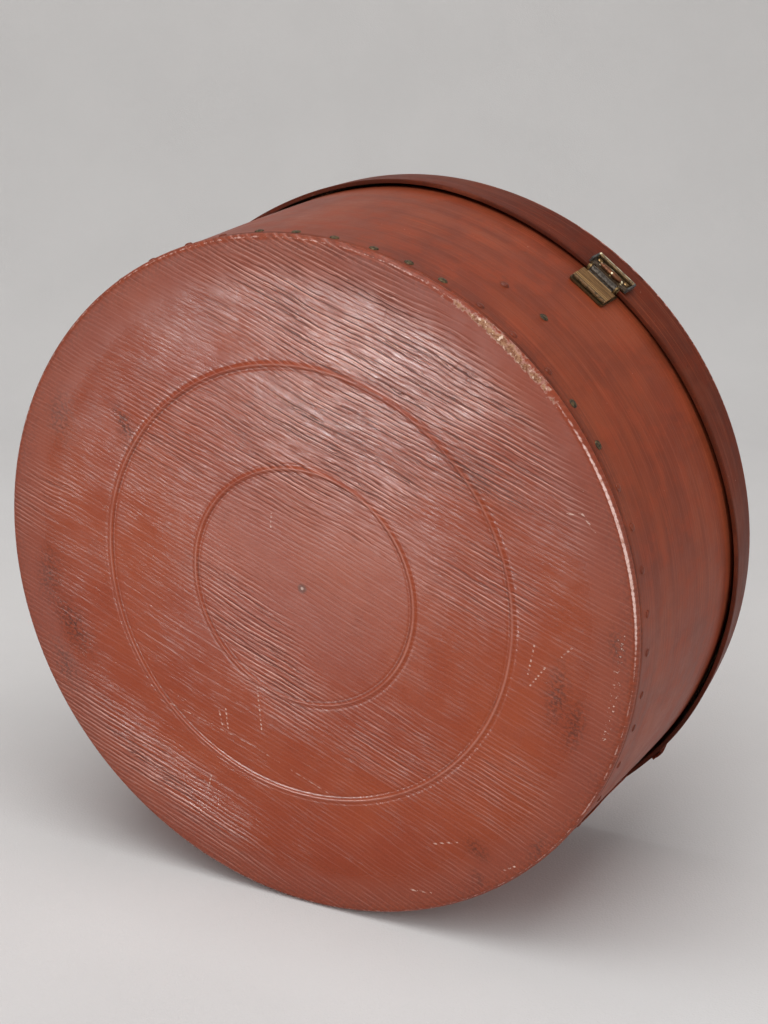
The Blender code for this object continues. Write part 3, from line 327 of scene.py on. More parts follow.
def base_leather(name, tone, marked):
    """Coated cloth pressed with wavering ribs: crests with painted sheen, grooves with painted shade and
    dirt, cracks, scuffs and dirt marks.
    """
    graph = Graph(name)
    place, x, y, _ = graph.place()
    along, across = flat_route(graph)
    radius, azimuth = graph.polar(x, y)
    cloudy = graph.noise(place, 9.0, 4.0, 0.6)
    patchy = graph.noise(place, 34.0, 4.0, 0.65)
    grain = graph.noise(place, 1100.0, 2.0, 0.6)
    speckle = graph.noise(place, 420.0, 3.0, 0.7)
    fringe = graph.noise(place, 260.0, 4.0, 0.75)

    wave, crest, groove = rib_waves(graph, along, across)
    strand = graph.fade(graph.streaks(along, across, 15.0, 250.0, 3.0, 0.6), 0.34, 0.62, 0.12, 1.05)
    # The pressed mask sets how deep the ribs run and where their crests carry painted sheen.
    pressed = graph.fade(graph.painted("pressed") + (patchy - 0.5) * 0.7, 0.0, 1.0, 0.08, 1.1) * strand
    ring = graph.most(graph.near(radius, BEADS[0], 0.0022), graph.near(radius, BEADS[1], 0.0022))
    pressed = pressed * (1.0 - ring * 0.60)
    crest = crest * pressed
    groove = groove * pressed

    deep = tint(tone, 0.26)
    warm = (tone[0] * 1.05, tone[1] * 1.18, tone[2] * 1.05)
    colour = graph.mix(graph.fade(cloudy, 0.30, 0.72), tint(tone, 0.88), warm)
    colour = graph.mix(graph.fade(patchy, 0.50, 0.80) * 0.50, colour, tint(tone, 0.72))
    colour = graph.mix(graph.fade(grain, 0.35, 0.75) * 0.16, colour, deep)
    # Painted shade: the cloth darker towards its outer edge.
    colour = graph.mix(graph.fade(radius, 0.160, 0.225, 0.0, 0.20), colour, deep)
    # Painted sheen on the rib crests; painted shade with dirt in the grooves.
    colour = graph.mix(graph.least(crest, 0.85), colour, (0.680, 0.350, 0.285))
    colour = graph.mix(graph.least(groove, 0.90), colour, deep)
    # Painted shade in a ditch inside each ring and a painted highlight along its crest.
    ditch = 0.0
    ridge_highlight = 0.0
    for bead in BEADS:
        away = radius - bead
        ditch = graph.most(ditch, graph.near(away, -0.0019, 0.0009))
        ridge_highlight = graph.most(ridge_highlight, graph.fade(graph.math("ABSOLUTE", away), 0.0011, 0.0002))
    colour = graph.mix(ditch * graph.fade(patchy, 0.35, 0.62, 0.08, 0.46), colour, deep)
    colour = graph.mix(ridge_highlight * graph.fade(cloudy, 0.38, 0.62, 0.04, 0.36), colour, (0.560, 0.260, 0.200))

    web = graph.fade(graph.cells(place, 55.0, "DISTANCE_TO_EDGE") + (grain - 0.5) * 0.05, 0.045, 0.0)
    web = web * graph.fade(graph.noise(place, 17.0), 0.54, 0.66)
    web = web * graph.fade(graph.painted("pressed"), 0.70, 1.10)
    colour = graph.mix(web * 0.40, colour, deep)
    soil = graph.painted("soil") * graph.fade(speckle + groove * 0.20, 0.40, 0.62)
    colour = graph.mix(soil * 0.85, colour, (0.050, 0.020, 0.014))
    # Painted shade: a deeper red along the rounded edge under the clasp, where it turns from the light.
    edge_shade = graph.near(radius, 0.2230, 0.0130) * graph.near(azimuth, -84.0, 34.0)
    colour = graph.mix(graph.fade(edge_shade, 0.05, 0.7) * 0.55, colour, (0.270, 0.042, 0.012))

    rim = graph.near(radius, 0.2283, 0.0014)
    wear_and_highlight = graph.fade(rim + (fringe - 0.5) * 2.2, 0.95, 1.15) * 0.5
    wear_and_highlight_tone = graph.mix(graph.fade(speckle, 0.44, 0.70), (0.740, 0.500, 0.440), (0.460, 0.200, 0.140))
    if marked:
        band = worn_band(graph, place, radius, azimuth)
        # Painted highlight: a thin pale line along the rounded edge, strong round -55 degrees, faint round
        # -112 degrees, broken by the ribs.
        line = graph.most(graph.near(azimuth, -55.0, 34.0), graph.near(azimuth, -112.0, 24.0) * 0.40)
        line = line * graph.fade(wave, -0.9, 0.4, 0.78, 1.0)
        line = graph.fade(line * rim + (fringe - 0.5) * 0.6, 0.24, 0.60)
        wear_and_highlight = graph.most(band, graph.most(line, wear_and_highlight))
        tan = graph.mix(graph.fade(speckle, 0.40, 0.60), (0.380, 0.190, 0.100), (0.200, 0.066, 0.030))
        tan = graph.mix(graph.fade(graph.noise(place, 380.0), 0.60, 0.68), tan, (0.700, 0.500, 0.380))
        wear_and_highlight_tone = graph.mix(band, wear_and_highlight_tone, tan)
    # Pale wear along the edge, and on the base the rubbed band and the painted highlight line.
    colour = graph.mix(wear_and_highlight, colour, wear_and_highlight_tone)

    scuffs = graph.fade(speckle, 0.735, 0.76) * graph.fade(patchy, 0.48, 0.62) * 0.5
    if marked:
        # Painted shadow round the nub at the centre.
        nub_shadow = graph.fade(radius, 0.0042, 0.0020) * 0.75
        colour = graph.mix(nub_shadow, colour, (0.110, 0.040, 0.024))
        scuffs = graph.most(scuffs, scratches(graph, place, radius, wave, speckle, fringe))
    colour = graph.mix(scuffs, colour, (0.780, 0.560, 0.460))

    rough = graph.fade(patchy, 0.25, 0.80, 0.16, 0.29) + graph.fade(radius, 0.125, 0.050, 0.0, 0.15)
    rough = rough + graph.fade(radius, 0.196, 0.216, 0.0, 0.28) + groove * 0.20 + wear_and_highlight * 0.14
    height = crest * 0.80 + groove * -1.30 + graph.noise(place, 21.0) * 3.0 + patchy * 0.80
    height = height + grain * 0.10 + web * -0.50 + wear_and_highlight * -0.80
    return graph.surface(colour, rough, graph.bump(height, 0.00021), specular=0.30)


def worn_band(graph, place, radius, azimuth):
    """Where the base's edge under the clasp is rubbed down to the board."""
    front = graph.near(azimuth, -90.0, 24.0)
    frayed = graph.noise(place, 150.0, 3.0, 0.7) - 0.5
    band = graph.fade(graph.near(radius, 0.2276, 0.0056) * front + frayed * 2.0, 0.50, 0.85)
    return band * graph.fade(graph.near(radius, 0.2272, 0.0085) * front, 0.02, 0.20)


def scratches(graph, place, radius, wave, speckle, fringe):
    """Broken scratches over the ribs, faint lines, chains of nicks and a pale dot on the nub at the centre.
    """
    broken = graph.fade(wave, -0.1, 0.7) * 0.9 + graph.fade(speckle, 0.60, 0.66, 0.0, 0.8)
    broken = graph.least(broken, 1.0) * graph.fade(fringe, 0.40, 0.56, 0.1, 1.0)
    marks = graph.most(graph.strokes(place, SCRATCHES, 0.0008) * (broken * 0.8),
                       graph.fade(radius, 0.0013, 0.0007) * 0.5)
    faint = graph.strokes(place, FAINT_LINES, 0.0006) * graph.fade(fringe, 0.46, 0.60) * 0.4
    chain = graph.strokes(place, CHAINS, 0.0034) * graph.fade(speckle, 0.60, 0.64) * 0.7
    return graph.most(marks, graph.most(faint, chain))


def side_leather(name, tone, rough_low, streak, gloss):
    """Coated cloth of the wall and the skirt: fine streaks round the box, faint bands, darker at its ends,
    with painted shadow on the wall under the lid's rim.
    """
    graph = Graph(name)
    along, up = round_route(graph)
    place = graph.place()[0]
    strand = graph.streaks(along, up, 9.0, 620.0, 4.0, 0.65)
    broad = graph.streaks(along, up, 3.5, 48.0, 3.0, 0.6)
    upright = graph.streaks(along, up, 30.0, 9.0, 3.0, 0.6)
    cloudy = graph.noise(place, 11.0, 4.0, 0.6)
    patchy = graph.noise(place, 46.0, 4.0, 0.65)
    grain = graph.noise(place, 1200.0, 2.0, 0.6)
    speckle = graph.noise(place, 420.0, 3.0, 0.7)
    deep = tint(tone, 0.46)
    dull = tint(tone, 0.62)
    warm = (tone[0] * 1.10, tone[1] * 1.26, tone[2] * 1.20)
    colour = graph.mix(graph.fade(cloudy, 0.34, 0.66), tint(tone, 0.84), warm)
    colour = graph.mix(graph.fade(broad, 0.46, 0.62) * 0.50, colour, dull)
    colour = graph.mix(graph.fade(upright, 0.48, 0.66) * 0.42, colour, dull)
    colour = graph.mix(graph.fade(patchy, 0.48, 0.62) * 0.38, colour, tint(tone, 1.30))
    colour = graph.mix(graph.fade(strand, 0.50, 0.62) * streak, colour, deep)
    colour = graph.mix(graph.fade(strand, 0.47, 0.37) * (streak * 0.60), colour, (0.430, 0.120, 0.062))
    colour = graph.mix(graph.fade(grain, 0.35, 0.75) * 0.14, colour, deep)
    # Darkened by the mesh's mask, which holds dirt and, on the wall, painted shadow under the lid's rim.
    soil = graph.painted("soil") * graph.fade(speckle + strand, 0.70, 1.15)
    colour = graph.mix(soil * 0.9, colour, (0.045, 0.017, 0.012))
    wear = graph.fade(graph.painted("wear") + (graph.noise(place, 240.0, 3.0, 0.7) - 0.5) * 1.6, 0.62, 0.82)
    wear = wear * graph.fade(graph.painted("wear"), 0.02, 0.12)
    colour = graph.mix(wear, colour, (0.520, 0.300, 0.190))
    flecks = graph.fade(speckle, 0.70, 0.73) * graph.fade(patchy, 0.56, 0.66)
    colour = graph.mix(flecks * 0.75, colour, (0.720, 0.470, 0.370))
    dents = graph.fade(graph.noise(place, 150.0), 0.70, 0.78) * graph.fade(cloudy, 0.45, 0.60)
    colour = graph.mix(dents * 0.40, colour, deep)
    rough = graph.fade(patchy, 0.25, 0.80, rough_low, rough_low + 0.13)
    height = strand * 0.30 + patchy * 0.60 + graph.noise(place, 24.0) * 1.8 + grain * 0.10 + dents * -0.30
    return graph.surface(colour, rough, graph.bump(height, 0.00028), specular=gloss)


def old_brass(name, bright, film, patina):
    """Tarnished brass: dark film in the hollows, rubbed bright here and there, green at the edges."""
    graph = Graph(name)
    place, x, _, z = graph.place()
    crust = graph.noise(place, 420.0, 5.0, 0.68)
    broad = graph.noise(place, 110.0, 3.0, 0.6)
    rubbed = graph.streaks(x, z, 90.0, 900.0, 3.0, 0.6)
    colour = graph.mix(graph.fade(crust, 0.34, 0.66), bright, film)
    colour = graph.mix(graph.fade(rubbed, 0.55, 0.75) * 0.30, colour, film)
    colour = graph.mix(graph.fade(broad, 0.56, 0.74) * 0.6, colour, patina)
    height = crust + rubbed * 0.3
    return graph.surface(colour, graph.fade(crust, 0.3, 0.7, 0.28, 0.54), graph.bump(height, 0.00010), 0.9)


def clasp_face():
    """Lever of the clasp: dark foot, two bright ribs, a tan face and a grey barrel."""
    graph = Graph("clasp_face_look")
    place, x, _, z = graph.place()
    crust = graph.noise(place, 520.0, 5.0, 0.68)
    streaks = graph.streaks(x, z, 60.0, 1500.0, 3.0, 0.6)
    foot = graph.mix(graph.fade(crust, 0.46, 0.60), (0.210, 0.115, 0.050), (0.060, 0.036, 0.018))
    face = graph.mix(graph.fade(streaks, 0.42, 0.62), (0.300, 0.160, 0.062), (0.150, 0.072, 0.026))
    face = graph.mix(graph.fade(crust, 0.54, 0.68) * 0.5, face, (0.130, 0.072, 0.034))
    barrel = graph.mix(graph.fade(crust, 0.40, 0.60), (0.110, 0.090, 0.070), (0.035, 0.026, 0.020))
    colour = graph.mix(graph.fade(z, 0.1285, 0.1288), foot, (0.060, 0.034, 0.017))
    colour = graph.mix(graph.fade(z, 0.1326, 0.1330), colour, face)
    ribs = graph.most(graph.near(z, 0.1296, 0.0007), graph.near(z, 0.1314, 0.0007))
    colour = graph.mix(ribs, colour, (0.520, 0.290, 0.100))
    colour = graph.mix(graph.near(z, 0.1419, 0.0005) * 0.5, colour, (0.700, 0.480, 0.260))
    colour = graph.mix(graph.fade(z, 0.1424, 0.1427), colour, barrel)
    colour = graph.mix(graph.near(z, 0.1466, 0.0006) * 0.7, colour, (0.420, 0.400, 0.360))
    rough = graph.fade(crust, 0.3, 0.7, 0.36, 0.56)
    return graph.surface(colour, rough, graph.bump(crust + streaks * 0.5, 0.00007), 0.60)


def clasp_cup():
    """Keeper of the clasp: dark hollow, rusty nose with painted glints and a painted green highlight, pale
    lip with a painted highlight on its crest, grey walls.
    """
    graph = Graph("clasp_cup_look")
    place, x, y, z = graph.place()
    crust = graph.noise(place, 520.0, 5.0, 0.68)
    broad = graph.noise(place, 160.0, 3.0, 0.6)
    colour = graph.mix(graph.fade(crust, 0.40, 0.60), (0.125, 0.078, 0.040), (0.040, 0.024, 0.014))
    nose = graph.fade(graph.near(x, 0.0, 0.0108), 0.0, 0.01) * graph.fade(y, -0.2361, -0.2364)
    nose = nose * graph.fade(graph.near(z, 0.1585, 0.0044), 0.0, 0.02)
    rust = graph.mix(graph.fade(crust, 0.42, 0.62), (0.210, 0.075, 0.026), (0.085, 0.030, 0.013))
    colour = graph.mix(nose, colour, rust)
    # Painted highlight: a pale green streak near the top of the nose, on its -X half.
    green_highlight = graph.fade(graph.near(x, -0.0048, 0.0070), 0.0, 0.4) * graph.near(z, 0.1604, 0.0018)
    green_highlight = green_highlight * graph.fade(broad, 0.36, 0.50)
    colour = graph.mix(green_highlight * nose, colour, (0.560, 0.700, 0.500))
    lip = graph.mix(graph.fade(crust, 0.44, 0.62), (0.200, 0.125, 0.055), (0.070, 0.042, 0.020))
    colour = graph.mix(graph.fade(z, 0.1657, 0.1662), colour, lip)
    # Painted highlight along the crest of the lip, on its front face.
    crest = graph.near(z, 0.1675, 0.0006) * graph.fade(broad, 0.36, 0.54, 0.2, 1.0)
    colour = graph.mix(crest * graph.fade(y, -0.2385, -0.2391), colour, (0.740, 0.700, 0.500))
    walls = graph.fade(graph.math("ABSOLUTE", x), 0.0145, 0.0148)
    grey = graph.mix(graph.fade(crust, 0.40, 0.62), (0.130, 0.122, 0.110), (0.045, 0.040, 0.035))
    colour = graph.mix(walls, colour, grey)
    # Painted glints: small bright specks on and beside the nose and one at a corner of the lip.
    glints = 0.0
    for across, up, size in PAINTED_GLINTS:
        away = graph.vector_math("DISTANCE", graph.vector(x, z), (across, up, 0.0), "Value")
        glints = graph.most(glints, graph.fade(away, size, size * 0.5))
    colour = graph.mix(glints, colour, (0.950, 0.840, 0.560))
    rough = graph.fade(crust, 0.3, 0.7, 0.34, 0.58)
    return graph.surface(colour, rough, graph.bump(crust, 0.00012), 0.55)


def nail_iron():
    """Dull nail heads, dark with an olive cast."""
    graph = Graph("nail_iron_look")
    film = graph.noise(graph.place()[0], 500.0, 4.0, 0.6)
    colour = graph.mix(graph.fade(film, 0.38, 0.62), (0.120, 0.080, 0.036), (0.028, 0.020, 0.011))
    rough = graph.fade(film, 0.3, 0.7, 0.40, 0.60)
    return graph.surface(colour, rough, graph.bump(film, 0.0002), 0.3, 0.3)


def plain_leather():
    """Dark grained leather for the grip."""
    graph = Graph("dark_leather_look")
    place = graph.place()[0]
    grain = graph.cells(place, 620.0)
    cloudy = graph.noise(place, 40.0, 4.0, 0.6)
    colour = graph.mix(graph.fade(cloudy, 0.35, 0.70), (0.105, 0.034, 0.022), (0.175, 0.058, 0.036))
    colour = graph.mix(graph.fade(grain, 0.55, 0.95) * 0.5, colour, (0.045, 0.016, 0.011))
    height = grain * -0.6 + cloudy * 0.6
    return graph.surface(colour, graph.fade(cloudy, 0.3, 0.7, 0.38, 0.56), graph.bump(height, 0.0003))


def raw_board():
    """Brown pressed board with fibres."""
    graph = Graph("fibre_board_look")
    place = graph.place()[0]
    fibre = graph.noise(place, 420.0, 5.0, 0.7, 0.4)
    cloudy = graph.noise(place, 20.0, 3.0, 0.6)
    colour = graph.mix(graph.fade(cloudy, 0.3, 0.7), (0.235, 0.140, 0.078), (0.300, 0.190, 0.110))
    colour = graph.mix(graph.fade(fibre, 0.5, 0.75) * 0.5, colour, (0.150, 0.085, 0.045))
    return graph.surface(colour, 0.85, graph.bump(fibre, 0.0002), specular=0.25)


def bent_wood():
    """Pale bent wood, its grain along the ring."""
    graph = Graph("bent_wood_look")
    along, up = round_route(graph)
    _, x, y, _ = graph.place()
    radius = graph.polar(x, y)[0]
    grain = graph.noise(graph.vector(along * 5.0, up * 190.0, radius * 190.0), 1.0, 5.0, 0.65, 0.3)
    colour = graph.mix(graph.fade(grain, 0.35, 0.68), (0.52, 0.35, 0.18), (0.32, 0.19, 0.09))
    return graph.surface(colour, 0.62, graph.bump(grain, 0.0002), specular=0.3)


def lining_paper(route):
    """Plain cream lining with a fine weave, a little foxed."""
    graph = Graph("lining_look_" + route.__name__)
    along, across = route(graph)
    pitch = 0.0010
    warp, weft = (graph.math("SINE", way * (TAU / pitch)) for way in (along, across))
    weave = warp * weft * 0.5
    stains = graph.noise(graph.place()[0], 14.0, 5.0, 0.65)
    colour = graph.mix(graph.fade(stains, 0.42, 0.78), (0.62, 0.54, 0.41), (0.45, 0.35, 0.23))
    colour = graph.mix(graph.fade(weave, 0.0, 0.5) * 0.18, colour, (0.36, 0.28, 0.19))
    return graph.surface(colour, 0.88, graph.bump(weave, 0.00012), specular=0.2)


def studio_look():
    """Studio cloth that is seen from its lit side alone and lets lamps through."""
    graph = Graph("studio_cloth_look")
    place, x, y, z = graph.place()
    depth = studio_axes()[2]
    away = x * depth.x + y * depth.y + z * depth.z
    creases = graph.noise(place, 6.0, 4.0, 0.55)
    colour = graph.mix(graph.fade(away, -0.5, 0.5), NEAR_CLOTH, FAR_CLOTH)
    colour = graph.mix(graph.fade(creases, 0.3, 0.7, 0.0, 0.06), colour, (0.40, 0.39, 0.38))
    normal = graph.bump(graph.noise(place, 700.0) * 0.4 + creases, 0.0006)
    cloth = graph.value("ShaderNodeBsdfDiffuse", {"Color": colour, "Normal": normal, "Roughness": 0.9})
    clear = graph.value("ShaderNodeBsdfTransparent", {})
    hidden = graph.most(graph.value("ShaderNodeNewGeometry", {}, "Backfacing"),
                        graph.value("ShaderNodeLightPath", {}, "Is Shadow Ray"))
    either = graph.value("ShaderNodeMixShader", {0: hidden, 1: cloth, 2: clear})
    graph.node("ShaderNodeOutputMaterial", {"Surface": either})
    return graph.material


def smooth(value, low, high):
    """Smooth step of an array from 0 at low to 1 at high."""
    share = np.clip((value - low) / (high - low), 0.0, 1.0)
    return share * share * (3.0 - 2.0 * share)


def ripples(x, y, lengths, seed):
    """Soft waves of the given lengths in all directions, about 1 high."""
    source = np.random.default_rng(seed)
    total = np.zeros_like(x)
    for length in lengths:
        heading, phase = source.uniform(0.0, TAU, 2)
        total += np.sin((x * math.cos(heading) + y * math.sin(heading)) * TAU / length + phase)
    return total / math.sqrt(len(lengths))


def bulge(azimuth):
    """How far the lid's rim stands out at an azimuth, in metres."""
    out = 0.0
    for distance, centre, reach in RIM_HUMPS:
        away = (np.degrees(azimuth) - centre + 180.0) % 360.0 - 180.0
        out = out + distance * np.exp(-(away / reach) ** 2)
    return out


def pushed(x, y, amount):
    """Moves points away from the axis."""
    radius = np.maximum(np.hypot(x, y), 1e-6)
    return x * (1.0 + amount / radius), y * (1.0 + amount / radius)


def spots(x, y, marks):
    """Mask made of soft round or long marks."""
    mask = np.zeros_like(x)
    for centre_x, centre_y, long_radius, short_radius, azimuth, strength in marks:
        cosine, sine = math.cos(math.radians(azimuth)), math.sin(math.radians(azimuth))
        along = (x - centre_x) * cosine + (y - centre_y) * sine
        across = (y - centre_y) * cosine - (x - centre_x) * sine
        away = (along / long_radius) ** 2 + (across / short_radius) ** 2
        mask = np.maximum(mask, strength * np.exp(-away))
    return mask


def turned(name, profile, material, relief=None, masks=None, closed=True):
    """Turns (radius, height) points about +Z, moves the points by relief and keeps masks on them."""
    rings = np.array(profile)
    angles = np.arange(SEGMENTS) * TAU / SEGMENTS
    x = rings[:, 0, None] * np.cos(angles)
    y = rings[:, 0, None] * np.sin(angles)
    z = np.repeat(rings[:, 1, None], SEGMENTS, axis=1)
    marks = masks(x, y, z) if masks else {}
    if relief:
        x, y, z = relief(x, y, z)
    points = np.stack([x, y, z], axis=-1).reshape(-1, 3)
    count = len(rings)
    faces = []
    for row in range(count if closed else count - 1):
        after = (row + 1) % count
        for column in range(SEGMENTS):
            beside = (column + 1) % SEGMENTS
            faces.append((row * SEGMENTS + column, row * SEGMENTS + beside,
                          after * SEGMENTS + beside, after * SEGMENTS + column))
    mesh = bpy.data.meshes.new(name)
    mesh.from_pydata(points.tolist(), [], faces)
    for key in ("pressed", "soil", "wear"):
        layer = mesh.attributes.new(key, "FLOAT", "POINT")
        values = marks.get(key, np.full(x.shape, 1.0 if key == "pressed" else 0.0))
        layer.data.foreach_set("value", values.astype(np.float32).ravel())
    work = bmesh.new()
    work.from_mesh(mesh)
    bmesh.ops.remove_doubles(work, verts=work.verts, dist=WELD)
    bmesh.ops.dissolve_degenerate(work, edges=work.edges, dist=WELD)
    bmesh.ops.recalc_face_normals(work, faces=work.faces)
    work.to_mesh(mesh)
    work.free()
    return added(name, mesh, material)


def added(name, mesh, material, sharp=50.0):
    """Links a mesh as a piece with smooth shading and its material."""
    mesh.shade_smooth()
    mesh.set_sharp_from_angle(angle=math.radians(sharp))
    mesh.materials.append(material)
    piece = bpy.data.objects.new(name, mesh)
    bpy.context.scene.collection.objects.link(piece)
    return piece


def arc(centre, radius, start, end, steps):
    """Points of an arc in the profile's plane."""
    angles = np.radians(np.linspace(start, end, steps + 1))
    return [(centre[0] + radius * math.cos(angle), centre[1] + radius * math.sin(angle)) for angle in angles]


def run(start, end, step):
    """Points of a straight stretch of the profile, the last one left out."""
    length = math.dist(start, end)
    count = max(1, round(length / step))
    return [(start[0] + (end[0] - start[0]) * i / count, start[1] + (end[1] - start[1]) * i / count)
            for i in range(count)]


def bead_rise(radius):
    """Height of the pressed rings and of the ditches beside them at each radius."""
    rise = np.zeros_like(radius)
    for bead in BEADS:
        rise += np.exp(-((radius - bead) / BEAD_REACH) ** 2)
        rise -= DITCH_SHARE * np.exp(-((np.abs(radius - bead) - DITCH_OFFSET) / DITCH_REACH) ** 2)
    return rise * BEAD_HEIGHT * BEAD_FLATTENED


def base_masks(x, y, z):
    """Where the base is dirty, where its ribs are pressed deep and carry painted sheen, and where they are
    pressed smooth, read from the photograph.
    """
    radius = np.hypot(x, y)
    soil = spots(x, y, STAINS)
    soil = np.maximum(soil, 0.35 * np.exp(-((radius - BODY_RADIUS) / 0.012) ** 2))
    pressed = spots(x, y, SHEEN_AND_DEEP_RIBS)
    azimuth = np.degrees(np.arctan2(y, x))
    smoothed = smooth(radius, 0.200, 0.219) * np.exp(-((azimuth + 78.0) / 50.0) ** 2)
    return {"soil": soil, "pressed": np.maximum(pressed, 0.09) * (1.0 - 0.9 * smoothed)}


def base_waves(x, y):
    """Soft waves of the thin board and the swelling at its front."""
    inside = 1.0 - smooth(np.hypot(x, y), 0.195, 0.222)
    waves = ripples(x, y, (0.21, 0.17, 0.14, 0.11, 0.085), 3) * WAVE_HEIGHT
    return (waves - spots(x, y, (SWELLING,)) * SWELLING_HEIGHT) * inside


def ringed(outer, height):
    """Profile of a flat face from its centre outwards, with close steps over the two rings."""
    profile = [(0.0, height), (STEP / 2, height)]
    stops = [STEP]
    for bead in BEADS:
        stops += [bead - BEAD_WIDTH, bead + BEAD_WIDTH]
    stops.append(outer)
    for index, (low, high) in enumerate(zip(stops, stops[1:])):
        profile += run((low, height), (high, height), FINE_STEP if index % 2 else STEP)
    return profile


def base_relief(x, y, z):
    """Beads and waves of the cloth."""
    outer_face = z < CLOTH + DISH_DEPTH + 0.0002
    return x, y, z + np.where(outer_face, base_waves(x, y) - bead_rise(np.hypot(x, y)), 0.0)


def board_relief(x, y, z):
    """The board's underside follows the cloth."""
    return x, y, z + np.where(z < 2 * CLOTH + DISH_DEPTH, base_waves(x, y), 0.0)


def dish_level(radius):
    """Height of the base's hollow at a radius."""
    share = min(1.0, max(0.0, (radius - LAND_INNER + DISH_SLOPE) / DISH_SLOPE))
    return DISH_DEPTH * 0.5 * (1.0 + math.cos(math.pi * share))


def make_base(material, board):
    """Cloth of the base with its two rings, turned up over the edge, and the board that it covers."""
    dish = LAND_INNER - DISH_SLOPE
    centre = (BODY_RADIUS - EDGE_RADIUS, EDGE_RADIUS)
    slope = [radius for radius, _ in run((dish, 0.0), (LAND_INNER, 0.0), STEP)]
    profile = ringed(dish, DISH_DEPTH)
    profile += [(radius, dish_level(radius)) for radius in slope]
    profile += run((LAND_INNER, 0.0), (centre[0], 0.0), STEP)
    profile += arc(centre, EDGE_RADIUS, -90.0, 0.0, 8)
    profile += [(BODY_RADIUS, WALL_FOOT), (BODY_RADIUS - CLOTH, WALL_FOOT)]
    profile += arc(centre, EDGE_RADIUS - CLOTH, 0.0, -90.0, 4)
    profile += [(LAND_INNER, CLOTH)] + [(radius, dish_level(radius) + CLOTH) for radius in slope[::-1]]
    profile += [(0.0, DISH_DEPTH + CLOTH)]
    piece = turned("base_cloth", profile, material, base_relief, base_masks, closed=False)
    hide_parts("base_cover")
    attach(piece, "box")

    low = CLOTH + SEAM
    edge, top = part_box("base_panel")[1].x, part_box("base_panel")[1].z
    profile = [(0.0, DISH_DEPTH + low)]
    profile += run((2 * STEP, DISH_DEPTH + low), (dish, DISH_DEPTH + low), 2 * STEP)
    profile += [(radius, dish_level(radius) + low) for radius in slope] + [(LAND_INNER, low)]
    profile += arc(centre, EDGE_RADIUS - low, -90.0, 0.0, 4)
    profile += [(edge, top - DISH_DEPTH), (BOARD_LAND, top - DISH_DEPTH), (BOARD_LAND - BOARD_SLOPE, top)]
    profile.append((0.0, top))
    piece = turned("base_board", profile, board, board_relief, closed=False)
    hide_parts("base_panel")
    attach(piece, "box")


def wall_masks(x, y, z):
    """Darker behind the turned-up edge of the base, most of it under the clasp, and painted shadow along the
    lid's rim.
    """
    azimuth = np.degrees(np.arctan2(y, x))
    near_clasp = np.exp(-((azimuth + 72.0) / 34.0) ** 2)
    soil = np.exp(-((z - WALL_FOOT) / 0.0035) ** 2) * 0.75
    soil = np.maximum(soil, near_clasp * 0.42 * np.exp(-((z - 0.010) / 0.009) ** 2))
    # Painted shadow on the wall just below the lid's rim.
    soil = np.maximum(soil, 0.50 * np.exp(-((z - RIM) / 0.005) ** 2))
    return {"soil": soil, "wear": np.zeros_like(x)}


def wall_relief(x, y, z):
    """Soft waves of the hoop, and the wall following the lid's rim where it stands out."""
    azimuth = np.arctan2(y, x)
    outer = np.hypot(x, y) > BODY_RADIUS - CLOTH / 2
    waves = ripples(azimuth * BODY_RADIUS, z, (0.24, 0.18, 0.11), 11) * 0.00025 * smooth(z, WALL_FOOT, 0.03)
    level = smooth(z, WALL_STIFF, RIM - 0.003) * (1.0 - smooth(z, RIM + 0.002, WALL_TOP - 0.003))
    stand = np.maximum(bulge(azimuth), 0.0) * WALL_FOLLOW * level
    return *pushed(x, y, np.where(outer, waves + stand, 0.0)), z


def make_wall(material):
    """Cloth of the wall, turned in over the hoop's upper edge."""
    foot = WALL_FOOT + SEAM
    inner = BODY_RADIUS - CLOTH
    lip = 0.0004
    profile = run((BODY_RADIUS, foot + lip), (BODY_RADIUS, WALL_TOP - lip), 0.0035)
    profile += [(BODY_RADIUS, WALL_TOP - lip), (BODY_RADIUS - lip, WALL_TOP), (HOOP_INNER, WALL_TOP),
                (HOOP_INNER, WALL_TOP - CLOTH), (inner, WALL_TOP - CLOTH), (inner, foot)]
    profile.append((BODY_RADIUS - lip, foot))
    piece = turned("wall_cloth", profile, material, wall_relief, wall_masks)
    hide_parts("wall_cover")
    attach(piece, "box")


def dome(work, centre, outward, radius, rise):
    """Adds a round head to a bmesh, its rim on the wall."""
    rings, sides = 4, 14
    side = outward.cross(Vector((0.0, 0.0, 1.0))).normalized()
    up = side.cross(outward)
    rows = []
    for ring in range(rings):
        lift = rise * math.sin(math.pi / 2 * ring / rings)
        reach = radius * math.cos(math.pi / 2 * ring / rings)
        row = []
        for angle in (TAU * k / sides for k in range(sides)):
            spoke = side * math.cos(angle) + up * math.sin(angle)
            row.append(work.verts.new(centre + outward * lift + spoke * reach))
        rows.append(row)
    foot = [work.verts.new(vert.co - outward * NAIL_SINK) for vert in rows[0]]
    rows.insert(0, foot)
    tip = work.verts.new(centre + outward * rise)
    for low, high in zip(rows, rows[1:]):
        for k in range(sides):
            work.faces.new((low[k], low[(k + 1) % sides], high[(k + 1) % sides], high[k]))
    for k in range(sides):
        work.faces.new((rows[-1][k], rows[-1][(k + 1) % sides], tip))
    work.faces.new(foot[::-1])


